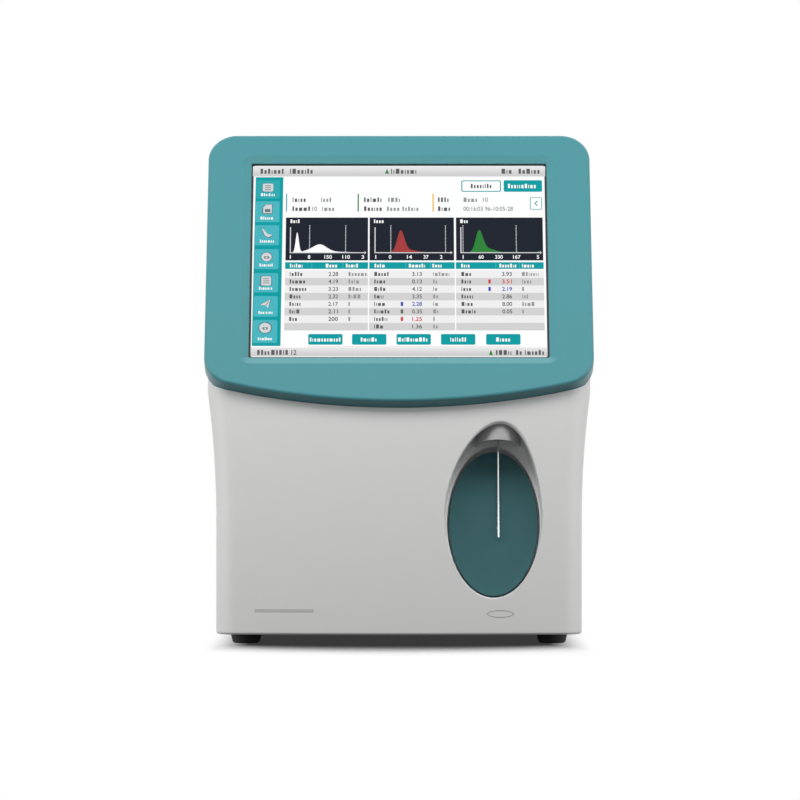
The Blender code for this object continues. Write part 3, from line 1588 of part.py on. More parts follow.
def build_fan():
    """Fan frame, rotor and guard at the rear."""
    back = PANEL_INNER_Y - GAP
    frame_y = back - FAN_DEPTH / 2
    housing = piece(
        "fan_frame",
        plate(
            rectangle(FAN_SIZE, FAN_SIZE, FAN_CORNER),
            FAN_DEPTH,
            "XZ",
            [circle(FAN_BORE)],
        ),
        "black_plastic",
        (FAN_X, frame_y, FAN_Z),
    )
    spider_y = back - FAN_DEPTH + FAN_SPIDER_THICK / 2
    reach = 2 * FAN_BORE + 2 * EMBED
    for width, height in ((reach, FAN_SPIDER_WIDTH), (FAN_SPIDER_WIDTH, reach)):
        join(
            housing,
            block(width, FAN_SPIDER_THICK, height),
            (FAN_X, spider_y, FAN_Z),
        )
    join(
        housing,
        rod(FAN_HUB_RADIUS, FAN_SPIDER_THICK, "Y"),
        (FAN_X, spider_y, FAN_Z),
    )
    rotor_y = back - FAN_DEPTH + FAN_SPIDER_THICK + GAP + FAN_ROTOR_DEPTH / 2
    rotor = piece(
        "fan_rotor",
        rod(FAN_HUB_RADIUS, FAN_ROTOR_DEPTH, "Y"),
        "black_plastic",
        (FAN_X, rotor_y, FAN_Z),
    )
    blade = FAN_BORE - FAN_BLADE_CLEARANCE - FAN_HUB_RADIUS + FAN_BLADE_THICK
    centre = FAN_HUB_RADIUS - FAN_BLADE_THICK + blade / 2
    for step in range(FAN_BLADES):
        angle = 2 * math.pi * step / FAN_BLADES
        bm = bmesh.new()
        bmesh.ops.create_cube(bm, size=1)
        bmesh.ops.scale(bm, vec=(FAN_BLADE_THICK, FAN_BLADE_CHORD, blade), verts=bm.verts)
        turn = (
            Matrix.Rotation(angle, 4, "Y")
            @ Matrix.Translation((0, 0, centre))
            @ Matrix.Rotation(FAN_BLADE_PITCH, 4, "Z")
        )
        join(rotor, to_mesh(bm, turn), (FAN_X, rotor_y, FAN_Z))
    piece(
        "fan_guard",
        plate(
            rectangle(FAN_SIZE, FAN_SIZE, FAN_CORNER),
            GUARD_THICK,
            "XZ",
            [
                rectangle(
                    2 * FAN_BORE * math.sqrt(1 - ((2 * bar + 1) / GUARD_BARS - 1) ** 2)
                    - 2 * GUARD_THICK,
                    2 * FAN_BORE / GUARD_BARS - 2 * GUARD_THICK,
                    0,
                    (0, FAN_BORE * ((2 * bar + 1) / GUARD_BARS - 1)),
                )
                for bar in range(GUARD_BARS)
            ],
        ),
        "zinc_steel",
        (FAN_X, PANEL_OUTER_Y + GAP + GUARD_THICK / 2, FAN_Z),
    )


def build_inlet():
    """Mains inlet with its rocker switch."""
    face = PANEL_OUTER_Y + GAP
    outer = face + INLET_FLANGE_THICK
    inlet = piece(
        "power_inlet",
        block(INLET_FLANGE_WIDTH, INLET_FLANGE_THICK, INLET_FLANGE_HEIGHT, GAP),
        "black_plastic",
        (INLET_X, face + INLET_FLANGE_THICK / 2, INLET_Z),
    )
    join(
        inlet,
        block(INLET_BODY_WIDTH, INLET_BODY_DEPTH, INLET_BODY_HEIGHT),
        (INLET_X, face + EMBED - INLET_BODY_DEPTH / 2, INLET_Z),
    )
    depth = SOCKET_DEPTH + OVERRUN
    socket_x = INLET_X + SOCKET_OFFSET
    floor = outer - SOCKET_DEPTH
    cut(
        inlet,
        block(SOCKET_WIDTH, depth, SOCKET_HEIGHT),
        (socket_x, floor + depth / 2, INLET_Z),
    )
    blade = BLADE_LENGTH + EMBED
    for across, up in ((-1, 0), (0, 1), (1, 0)):
        join(
            inlet,
            block(BLADE_WIDTH, blade, BLADE_HEIGHT),
            (
                socket_x + across * BLADE_SPACING,
                floor - EMBED + blade / 2,
                INLET_Z - BLADE_RISE + 2 * up * BLADE_RISE,
            ),
        )
    rocker_x = INLET_X + ROCKER_OFFSET
    depth = ROCKER_SOCKET_DEPTH + OVERRUN
    cut(
        inlet,
        block(
            ROCKER_WIDTH + 2 * GAP,
            depth,
            ROCKER_HEIGHT + 2 * ROCKER_CLEARANCE,
        ),
        (rocker_x, outer - ROCKER_SOCKET_DEPTH + depth / 2, INLET_Z),
    )
    bm = bmesh.new()
    bmesh.ops.create_cube(bm, size=1)
    bmesh.ops.scale(bm, vec=(ROCKER_WIDTH, ROCKER_THICK, ROCKER_HEIGHT), verts=bm.verts)
    piece(
        "power_rocker",
        to_mesh(bm, Matrix.Rotation(ROCKER_REST, 4, "X")),
        "black_plastic",
        (rocker_x, outer - ROCKER_THICK / 2, INLET_Z),
    )


def build_ports():
    """Reagent connectors and data sockets on the rear panel."""
    face = PANEL_OUTER_Y + GAP
    ports = piece(
        "reagent_ports",
        block(PORTS_WIDTH, PORTS_THICK, PORTS_HEIGHT, GAP),
        "grey_plastic",
        (PORTS_X, face + PORTS_THICK / 2, PORTS_Z),
    )
    outer = face + PORTS_THICK
    stub = REAR_Y - outer + EMBED
    barb = stub / 3
    for step in range(NIPPLE_COUNT):
        x = PORTS_X + NIPPLE_SPACING * (step - (NIPPLE_COUNT - 1) / 2)
        join(
            ports,
            rod(NIPPLE_RADIUS, stub, "Y", None, SMALL_SIDES),
            (x, outer - EMBED + stub / 2, PORTS_Z),
        )
        join(
            ports,
            rod(NIPPLE_BARB_RADIUS, barb, "Y", NIPPLE_RADIUS - EMBED, SMALL_SIDES),
            (x, REAR_Y - 3 * barb / 2, PORTS_Z),
        )
        cut(
            ports,
            rod(NIPPLE_BORE, stub, "Y", None, SMALL_SIDES),
            (x, REAR_Y, PORTS_Z),
        )
    data = piece(
        "data_sockets",
        block(DATA_WIDTH, DATA_DEPTH, DATA_HEIGHT),
        "zinc_steel",
        (DATA_X, PANEL_OUTER_Y + DATA_LIP - DATA_DEPTH / 2, DATA_Z),
    )
    mouth = PANEL_OUTER_Y + DATA_LIP
    for step, width, height, depth in (
        (-1, USB_WIDTH, USB_HEIGHT, USB_DEPTH),
        (0, USB_WIDTH, USB_HEIGHT, USB_DEPTH),
        (1, LAN_WIDTH, LAN_HEIGHT, LAN_DEPTH),
    ):
        cut(
            data,
            block(width, depth + OVERRUN, height),
            (DATA_X + step * DATA_SPACING, mouth - depth / 2 + OVERRUN / 2, DATA_Z),
        )


def main():
    """Builds every piece of the machine."""
    clear_scene()
    display = frame("display_lean", (0, FRONT_Y, BEZEL_LOW_Z), BEZEL_TILT)
    lean = frame("probe_lean", (KEY_X, key_y(), KEY_Z), LEAN)
    build_chassis()
    cover = build_covers(display)
    build_display(display)
    build_key(lean, cover)
    build_visor(lean, cover)
    build_lift(lean)
    build_door()
    build_baths()
    build_syringe()
    build_pump()
    build_valves()
    build_electronics()
    build_fan()
    build_inlet()
    build_ports()
    bpy.context.view_layer.update()


main()
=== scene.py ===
"""Looks of a bench-top blood cell analyser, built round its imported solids.

Metres. +X is to the right of someone facing the screen, -Y is the front and +Z is up.
"""

import json
import logging
import math
import random
from dataclasses import dataclass, field
from enum import Enum
from typing import Callable, Sequence

import bmesh
import bpy
from mathutils import Matrix, Vector

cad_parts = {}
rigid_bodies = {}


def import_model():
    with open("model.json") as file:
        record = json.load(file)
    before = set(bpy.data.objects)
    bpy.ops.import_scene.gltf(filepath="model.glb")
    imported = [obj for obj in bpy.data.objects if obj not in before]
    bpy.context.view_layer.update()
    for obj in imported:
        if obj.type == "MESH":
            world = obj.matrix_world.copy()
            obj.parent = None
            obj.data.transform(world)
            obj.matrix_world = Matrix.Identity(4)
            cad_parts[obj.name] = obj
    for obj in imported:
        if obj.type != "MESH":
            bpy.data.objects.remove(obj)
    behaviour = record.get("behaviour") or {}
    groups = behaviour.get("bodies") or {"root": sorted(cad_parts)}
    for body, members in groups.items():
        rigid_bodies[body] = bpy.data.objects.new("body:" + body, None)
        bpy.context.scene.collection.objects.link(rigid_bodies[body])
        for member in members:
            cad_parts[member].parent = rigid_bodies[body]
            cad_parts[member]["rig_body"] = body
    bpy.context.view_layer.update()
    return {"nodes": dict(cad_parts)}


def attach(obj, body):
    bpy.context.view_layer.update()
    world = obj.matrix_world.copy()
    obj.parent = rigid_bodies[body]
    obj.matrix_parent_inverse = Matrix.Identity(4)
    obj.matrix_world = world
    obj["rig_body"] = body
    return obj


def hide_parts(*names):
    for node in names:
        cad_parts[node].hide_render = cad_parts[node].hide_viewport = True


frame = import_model()
REPLACED: set[str] = set()
LOG = logging.getLogger("analyser")

Point = tuple[float, float]
Place = Sequence[float]
Mesh = bmesh.types.BMesh
Piece = bpy.types.Object

MM = 0.001
GAP = 0.0003  # between two covers
EDGE = 0.0004  # rounding of the covers' edges
MERGE = 1e-6  # points nearer than this are one
SMOOTH_ANGLE = math.radians(35)


class Slot(Enum):
    """The record's material slots."""

    WHITE = "white_plastic"
    TEAL = "teal_plastic"
    DARK_TEAL = "dark_teal_plastic"
    GREY = "grey_plastic"
    BLACK = "black_plastic"
    CLEAR = "clear_plastic"
    RUBBER = "black_rubber"
    GLASS = "screen_glass"
    PAINT = "painted_steel"
    ZINC = "zinc_steel"
    STAINLESS = "stainless"
    ALUMINIUM = "aluminium"
    BOARD = "circuit_board"


class Body(Enum):
    """The rigid bodies that the pieces ride on."""

    ROOT = "root"
    KEY = "key"
    PROBE = "probe"
    DOOR = "door"


# ---------------------------------------------------------------- materials


def linear(hex_colour: str) -> tuple[float, float, float, float]:
    """Turns an sRGB hex colour to linear light.

    Args:
        hex_colour: Six hex digits.

    Returns:
        Linear red, green and blue, and a full alpha.
    """
    parts = [int(hex_colour[i : i + 2], 16) / 255 for i in (0, 2, 4)]
    r, g, b = (c / 12.92 if c <= 0.04045 else ((c + 0.055) / 1.055) ** 2.4 for c in parts)
    return r, g, b, 1.0


def add(
    tree: bpy.types.NodeTree, kind: str, links: dict | None = None, **settings
) -> bpy.types.Node:
    """Adds a node with its settings, socket values and links.

    Args:
        tree: The node tree.
        kind: The node's type name, without the ShaderNode prefix.
        links: What each input is: a socket to link, or a value.
        **settings: Properties of the node itself.

    Returns:
        The new node.
    """
    node = tree.nodes.new("ShaderNode" + kind)
    for name, value in settings.items():
        setattr(node, name, value)
    for socket, value in (links or {}).items():
        if isinstance(value, bpy.types.NodeSocket):
            tree.links.new(value, node.inputs[socket])
        else:
            node.inputs[socket].default_value = value
    return node


@dataclass(frozen=True)
class Finish:
    """A real finish: what it is made of, and how its surface was made.

    The grain is a noise whose size is that of the real texture, drawn no finer than shows.
    """

    name: str
    slot: Slot
    colour: str
    second: str
    rough: float
    rough_spread: float = 0.06
    metallic: float = 0.0
    ior: float = 1.5
    specular: float = 0.5
    grain_mm: float = 1.2
    relief_mm: float = 0.02
    stretch: tuple[float, float, float] = (1, 1, 1)
    mottle_mm: float = 30.0
    coat: float = 0.0
    transmission: float = 0.0
    lit: bool = False
    fade: Point | None = None

    def make(self) -> bpy.types.Material:
        """Builds the node material once, and gives it back on later calls."""
        known = bpy.data.materials.get(self.name)
        if known:
            return known
        material = bpy.data.materials.new(self.name)
        material.use_nodes = True
        tree = material.node_tree
        shader = tree.nodes["Principled BSDF"]
        place = add(tree, "TexCoord").outputs["Object"]
        drawn = add(tree, "Mapping", {"Vector": place, "Scale": self.stretch}).outputs[0]
        grain_scale, mottle_scale = 1 / (self.grain_mm * MM), 1 / (self.mottle_mm * MM)
        grain = add(tree, "TexNoise", {"Vector": drawn, "Scale": grain_scale, "Detail": 3.0})
        mottle = add(tree, "TexNoise", {"Vector": place, "Scale": mottle_scale, "Detail": 4.0})
        height, share = grain.outputs["Fac"], mottle.outputs["Fac"]
        if self.fade:
            up = add(tree, "SeparateXYZ", {0: place}).outputs["Z"]
            ends = {"From Min": self.fade[0], "From Max": self.fade[1]}
            share = add(tree, "MapRange", {"Value": up, **ends}).outputs[0]
        colours = {"Color1": linear(self.colour), "Color2": linear(self.second)}
        blend = add(tree, "MixRGB", {"Fac": share, **colours})
        least, most = self.rough - self.rough_spread, self.rough + self.rough_spread
        spread = {"From Min": 0.3, "From Max": 0.7, "To Min": least, "To Max": most}
        rough = add(tree, "MapRange", {"Value": height, **spread})
        relief = self.relief_mm * MM
        bump = add(tree, "Bump", {"Height": height, "Strength": 0.5, "Distance": relief})
        inputs = shader.inputs
        inputs["Base Color"].default_value = linear("050505")
        tree.links.new(blend.outputs[0], inputs["Emission Color" if self.lit else "Base Color"])
        tree.links.new(rough.outputs[0], inputs["Roughness"])
        tree.links.new(bump.outputs[0], inputs["Normal"])
        inputs["Metallic"].default_value = self.metallic
        inputs["IOR"].default_value = self.ior
        inputs["Specular IOR Level"].default_value = self.specular
        inputs["Coat Weight"].default_value = self.coat
        inputs["Transmission Weight"].default_value = self.transmission
        inputs["Emission Strength"].default_value = float(self.lit)
        return material


def lit(name: str, colour: str, second: str, fade: Point | None = None) -> Finish:
    """A lit colour of the picture, seen through polished glass.

    Args:
        name: The colour's name.
        colour: Its sRGB hex value.
        second: A second value to blend to.
        fade: The heights between which it blends, or none for a mottle.

    Returns:
        The finish.
    """
    return Finish(
        f"lit_{name}", Slot.GLASS, colour, second, 0.2, 0.02,
        specular=0.05, relief_mm=0.0002, lit=True, fade=fade,
    )


# Light grey-white ABS from a spark-eroded mould: satin, with a fine even pebble
WHITE_ABS = Finish(
    "moulded_white_ABS", Slot.WHITE, "E4E4E3", "E1E1E0", 0.46,
    specular=0.3, grain_mm=1.0, relief_mm=0.012,
)
# Teal ABS, moulded against a polished tool: satin with a soft sheen
TEAL_ABS = Finish(
    "moulded_teal_ABS", Slot.TEAL, "3F8188", "3E8087", 0.32, 0.01,
    specular=0.38, grain_mm=1.4, relief_mm=0.003,
)
# Dark teal key cap, moulded and lightly textured
KEY_ABS = Finish(
    "moulded_dark_teal_key", Slot.DARK_TEAL, "446E73", "426B70", 0.5,
    specular=0.15, relief_mm=0.008,
)
# Mid grey ABS of visor and latch
GREY_ABS = Finish(
    "moulded_grey_ABS", Slot.GREY, "B0B0B0", "ADADAD", 0.42,
    specular=0.3, grain_mm=1.0, relief_mm=0.012,
)
# Black glass-filled nylon: matt and slightly uneven
BLACK_NYLON = Finish(
    "moulded_black_nylon", Slot.BLACK, "1E1F20", "242526", 0.52, grain_mm=0.8
)
# Natural polypropylene: milky and translucent
CLEAR_PP = Finish(
    "moulded_clear_polypropylene", Slot.CLEAR, "E2E6E4", "DCE1DF", 0.22,
    ior=1.49, transmission=0.75, grain_mm=2,
)
# Moulded nitrile rubber: black and dull
RUBBER = Finish(
    "moulded_black_rubber", Slot.RUBBER, "262626", "2C2C2B", 0.75,
    grain_mm=0.7, relief_mm=0.03,
)
# Bonded touch glass over a display that is off at its edges
GLASS = Finish(
    "polished_touch_glass", Slot.GLASS, "0C0D10", "0D0E11", 0.06, 0.01,
    ior=1.52, relief_mm=0.0005, coat=0.5,
)
# Powder-coated sheet steel: a soft orange peel
POWDER = Finish(
    "powder_coated_steel", Slot.PAINT, "BDBDBB", "B9B9B7", 0.5,
    grain_mm=1.6, relief_mm=0.04,
)
# Zinc-plated sheet: bluish, with rolling marks along the sheet
ZINC = Finish(
    "zinc_plated_steel", Slot.ZINC, "A9AEB4", "B9BBBA", 0.34, 0.1,
    metallic=1.0, grain_mm=0.8, relief_mm=0.006, stretch=(1, 1, 0.08), mottle_mm=12,
)
# Ground stainless steel: bright, with fine marks along its length
STAINLESS = Finish(
    "ground_stainless_steel", Slot.STAINLESS, "D5D6D6", "CBCDCE", 0.2,
    metallic=1.0, grain_mm=0.5, relief_mm=0.002, stretch=(1, 1, 0.05),
)
# Electropolished needle tube: the brightest metal on the machine
BRIGHT_STEEL = Finish(
    "electropolished_needle_steel", Slot.STAINLESS, "F4F5F5", "EEEFF0", 0.22,
    metallic=1.0, grain_mm=0.4, relief_mm=0.001, stretch=(1, 1, 0.03),
)
# Machined aluminium: paler and softer than steel, with turning marks
ALUMINIUM = Finish(
    "machined_aluminium", Slot.ALUMINIUM, "C9CBCD", "C0C2C5", 0.32,
    metallic=1.0, grain_mm=0.6, relief_mm=0.004, stretch=(0.2, 1, 1),
)
# Green solder mask over copper tracks
SOLDER_MASK = Finish(
    "solder_mask_board", Slot.BOARD, "0E5A34", "157042", 0.38,
    grain_mm=2.5, relief_mm=0.03, mottle_mm=5,
)
# Pad-printed inks on the white front: thin, dull and slightly uneven
STRIP_INK = Finish(
    "pad_printed_grey_ink", Slot.WHITE, "BEBEBD", "C3C3C2", 0.5, relief_mm=0.004, mottle_mm=3
)
OVAL_INK = Finish(
    "pad_printed_dark_ink", Slot.WHITE, "6E6F70", "7B7C7C", 0.5, relief_mm=0.004, mottle_mm=3
)

NODE_FINISHES: dict[Finish, str] = {
    ZINC: "base_plate front_frame partition lcd_module display_plate lift_bracket latch_catch "
    "bath_shelf syringe_bracket pump_motor power_supply fan_guard data_sockets",
    POWDER: "rear_panel",
    WHITE_ABS: "front_cover top_cover left_side_cover service_door valve_block",
    TEAL_ABS: "screen_bezel",
    RUBBER: "foot_front_left foot_front_right foot_rear_left foot_rear_right screen_gasket "
    "lift_belt",
    GLASS: "touch_glass",
    KEY_ABS: "aspirate_key",
    BLACK_NYLON: "key_switch lift_motor syringe_motor pump_rotor fan_frame fan_rotor power_inlet "
    "power_rocker",
    GREY_ABS: "probe_visor door_latch pump_housing reagent_ports",
    CLEAR_PP: "probe_wipe_block white_cell_bath red_cell_bath syringe_barrel diluent_tube "
    "waste_tube",
    STAINLESS: "sample_probe probe_rail lower_hinge_leaf upper_hinge_leaf lower_hinge_pin "
    "upper_hinge_pin syringe_plunger",
    ALUMINIUM: "probe_carriage idler_pulley drive_pulley",
    SOLDER_MASK: "main_board",
}


# ---------------------------------------------------------------- shaping


def outward(bm: Mesh, merge: float = MERGE) -> None:
    """Merges doubled points and turns every face outward.

    Args:
        bm: The bmesh.
        merge: How near doubled points are merged.
    """
    bmesh.ops.remove_doubles(bm, verts=bm.verts, dist=merge)
    bmesh.ops.recalc_face_normals(bm, faces=bm.faces)


def link(name: str, bm: Mesh) -> Piece:
    """Ends a bmesh as a smooth object at the origin, with its sharp edges kept.

    Args:
        name: The name of the object and of its mesh.
        bm: The bmesh, which is freed.

    Returns:
        The object, in the scene.
    """
    mesh = bpy.data.meshes.new(name)
    bm.to_mesh(mesh)
    bm.free()
    mesh.shade_smooth()
    mesh.set_sharp_from_angle(angle=SMOOTH_ANGLE)
    obj = bpy.data.objects.new(name, mesh)
    bpy.context.scene.collection.objects.link(obj)
    return obj


def bake_modifiers(obj: Piece) -> None:
    """Applies an object's modifiers to its mesh.

    Args:
        obj: The object.
    """
    bpy.context.view_layer.update()
    graph = bpy.context.evaluated_depsgraph_get()
    mesh = bpy.data.meshes.new_from_object(obj.evaluated_get(graph))
    obj.modifiers.clear()
    old = obj.data
    obj.data = mesh
    bpy.data.meshes.remove(old)


def boolean(obj: Piece, tool: Mesh, operation: str = "DIFFERENCE") -> None:
    """Cuts a shape from an object, or joins it.

    Args:
        obj: The object to change.
        tool: The shape to use, which is freed.
        operation: DIFFERENCE or UNION.
    """
    outward(tool)
    cutter = link("cutter", tool)
    modifier = obj.modifiers.new("cut", "BOOLEAN")
    modifier.operation = operation
    modifier.solver = "EXACT"
    modifier.object = cutter
    bake_modifiers(obj)
    mesh = cutter.data
    bpy.data.objects.remove(cutter)
    bpy.data.meshes.remove(mesh)


def thicken(obj: Piece, thickness: float) -> None:
    """Gives a skin an even wall on its inner side.

    Args:
        obj: The skin.
        thickness: The wall's.
    """
    wall = obj.modifiers.new("wall", "SOLIDIFY")
    wall.thickness = thickness
    wall.offset = -1
    wall.use_even_offset = True
    bake_modifiers(obj)


def soften(obj: Piece, width: float = EDGE, angle: float = 40) -> None:
    """Rounds an object's sharp edges, and weights its normals by face area.

    Args:
        obj: The object to change.
        width: The rounding's width in metres.
        angle: Edges sharper than this many degrees are rounded.
    """
    obj.data.set_sharp_from_angle(angle=math.radians(angle))
    bevel = obj.modifiers.new("soften", "BEVEL")
    bevel.width = width
    bevel.segments = 2
    bevel.limit_method = "ANGLE"
    bevel.angle_limit = math.radians(angle)
    normals = obj.modifiers.new("normals", "WEIGHTED_NORMAL")
    normals.keep_sharp = True
    bake_modifiers(obj)


def present(obj: Piece, finish: Finish, body: Body | str = Body.ROOT, *replaces: str) -> None:
    """Dresses a finished piece, sets what it rides on and reports it.

    Args:
        obj: The piece, at the origin.
        finish: Its finish.
        body: The body that it rides on.
        *replaces: CAD nodes that it stands for.
    """
    obj.data.materials.clear()
    obj.data.materials.append(finish.make())
    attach(obj, body.value if isinstance(body, Body) else body)
    if replaces:
        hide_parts(*replaces)
        REPLACED.update(replaces)
    LOG.info("%s: %d faces, %s", obj.name, len(obj.data.polygons), finish.name)


def cut_away(bm: Mesh, at: Place, clear: Place) -> None:
    """Cuts a bmesh by a plane.

    Args:
        bm: The bmesh.
        at: A point of the plane.
        clear: The plane's normal. What lies that way goes.
    """
    geom = [*bm.verts, *bm.edges, *bm.faces]
    bmesh.ops.bisect_plane(
        bm, geom=geom, dist=MERGE, plane_co=at, plane_no=clear, clear_outer=True
    )


def close_ends(bm: Mesh) -> None:
    """Closes the open ends of a sheet."""
    bmesh.ops.holes_fill(bm, edges=[e for e in bm.edges if e.is_boundary], sides=0)


def round_front(bm: Mesh, width: float, segments: int) -> None:
    """Rounds the rim of a flat shape's front, which lies at y = 0.

    Args:
        bm: The shape.
        width: The rounding's width.
        segments: How many facets the rounding has.
    """
    rim = [
        e
        for e in bm.edges
        if max(v.co.y for v in e.verts) < MERGE and e.calc_face_angle(0) > SMOOTH_ANGLE
    ]
    bmesh.ops.bevel(
        bm, geom=rim, offset=width, segments=segments, affect="EDGES", profile=0.5, material=-1
    )


def box_of(low: Place, high: Place) -> Mesh:
    """A box between two corners.

    Args:
        low: The lowest corner.
        high: The highest corner.

    Returns:
        A closed bmesh.
    """
    bm = bmesh.new()
    bmesh.ops.create_cube(bm, size=1)
    low, high = Vector(low), Vector(high)
    bmesh.ops.scale(bm, vec=high - low, verts=bm.verts)
    bmesh.ops.translate(bm, vec=(high + low) / 2, verts=bm.verts)
    return bm


def round_bar(
    radius: float, length: float, centre: Place, axis: Place = (0, 0, 1), sides: int = 48
) -> Mesh:
    """A round bar.

    Args:
        radius: Its radius.
        length: Its length.
        centre: Its middle.
        axis: The way that it runs.
        sides: How many facets it has.

    Returns:
        A closed bmesh.
    """
    bm = bmesh.new()
    bmesh.ops.create_cone(
        bm, cap_ends=True, segments=sides, radius1=radius, radius2=radius, depth=length
    )
    turn = Vector((0, 0, 1)).rotation_difference(Vector(axis)).to_matrix().to_4x4()
    bmesh.ops.transform(bm, matrix=Matrix.Translation(centre) @ turn, verts=bm.verts)
    return bm


def extruded(
    outline: Sequence[Point],
    low: float,
    high: float,
    to_world: Matrix | None = None,
    merge: float = MERGE,
) -> Mesh:
    """A flat outline in XZ drawn out along Y from low to high.

    Args:
        outline: The points of the outline as (x, z).
        low: Y of the first face.
        high: Y of the second face.
        to_world: A matrix to place it.
        merge: How near doubled points are merged.

    Returns:
        A closed bmesh.
    """
    bm = bmesh.new()
    face = bm.faces.new([bm.verts.new((x, low, z)) for x, z in outline])
    grown = bmesh.ops.extrude_face_region(bm, geom=[face])
    moved = [v for v in grown["geom"] if isinstance(v, bmesh.types.BMVert)]
    bmesh.ops.translate(bm, vec=(0, high - low, 0), verts=moved)
    if to_world:
        bmesh.ops.transform(bm, matrix=to_world, verts=bm.verts)
    outward(bm, merge)
    return bm


def lathe(profile: Sequence[Point], place: Matrix, steps: int) -> Mesh:
    """A profile of (radius, height) spun round Z.

    Args:
        profile: The points from one end of the axis to the other.
        place: A matrix to place it.
        steps: How many facets a turn has.

    Returns:
        A closed bmesh.
    """
    bm = bmesh.new()
    verts = [bm.verts.new((r, 0, h)) for r, h in profile]
    edges = [bm.edges.new(pair) for pair in zip(verts, verts[1:])]
    bmesh.ops.spin(
        bm,
        geom=verts + edges,
        cent=(0, 0, 0),
        axis=(0, 0, 1),
        angle=2 * math.pi,
        steps=steps,
        use_merge=True,
    )
    bmesh.ops.transform(bm, matrix=place, verts=bm.verts)
    outward(bm)
    return bm


def rounded(corners: Sequence[tuple[float, float, float]], steps: int) -> list[Point]:
    """Outline points of a polygon with rounded corners.

    Args:
        corners: Each corner as (across, up, radius).
        steps: Facets of a full corner.

    Returns:
        The points in order.
    """
    points: list[Point] = []
    corners = list(corners)
    for before, here, after in zip(corners[-1:] + corners[:-1], corners, corners[1:] + corners[:1]):
        corner = Vector(here[:2])
        if not here[2]:
            points.append(tuple(corner))
            continue
        back = (Vector(before[:2]) - corner).normalized()
        ahead = (Vector(after[:2]) - corner).normalized()
        half = back.angle(ahead) / 2
        centre = corner + (back + ahead).normalized() * here[2] / math.sin(half)
        start = corner + back * here[2] / math.tan(half) - centre
        side = math.copysign(1, back.x * ahead.y - back.y * ahead.x)
        for step in range(steps + 1):
            turn = -side * (math.pi - 2 * half) * step / steps
            points.append(tuple(centre + Matrix.Rotation(turn, 2) @ start))
    return points


def rectangle(
    x0: float, z0: float, x1: float, z1: float, radius: float = 0, steps: int = 4
) -> list[Point]:
    """A rectangle's outline between two corners, with rounded corners.

    Args:
        x0: Its left side.
        z0: Its lower side.
        x1: Its right side.
        z1: Its upper side.
        radius: The corners' radius.
        steps: Facets of a corner.

    Returns:
        The points in order.
    """
    return rounded([(x0, z0, radius), (x1, z0, radius), (x1, z1, radius), (x0, z1, radius)], steps)


def bent_grid(columns: int, rows: int, at: Callable[[int, int], Place]) -> Mesh:
    """A grid whose points are moved to the places that a function gives.

    Args:
        columns: Points along the grid's first side.
        rows: Points along its second side.
        at: Gives the place of a column and row.

    Returns:
        The bent sheet, with doubled points merged.
    """
    bm = bmesh.new()
    bmesh.ops.create_grid(bm, x_segments=columns - 1, y_segments=rows - 1, size=1)
    for vert in bm.verts:
        column = round((vert.co.x + 1) / 2 * (columns - 1))
        row = round((vert.co.y + 1) / 2 * (rows - 1))
        vert.co = at(column, row)
    bmesh.ops.remove_doubles(bm, verts=bm.verts, dist=MERGE)
    return bm


# ---------------------------------------------------------------- sub-assemblies


@dataclass(frozen=True)
class Lean:
    """A frame that leans back by tilt about a point on the front."""

    at: tuple[float, float, float]
    tilt: float

    def matrix(self) -> Matrix:
        """Turns the frame's own coordinates to the machine's."""
        return Matrix.Translation(self.at) @ Matrix.Rotation(-self.tilt, 4, "X")

    def place(self, across: float, deep: float, up: float) -> Vector:
        """A point given in this frame, in the machine's frame."""
        return self.matrix() @ Vector((across, deep, up))

    def along(self, across: float, deep: float, up: float) -> Vector:
        """A direction given in this frame, in the machine's frame."""
        return self.place(across, deep, up) - Vector(self.at)


DISPLAY = Lean((0, -0.195, 0.2018), math.radians(30))
PROBE = Lean((0.0779, -0.16241, 0.0988), math.radians(12))
NEEDLE: Point = (0.0041, -0.0031)  # the needle's place in the probe's frame


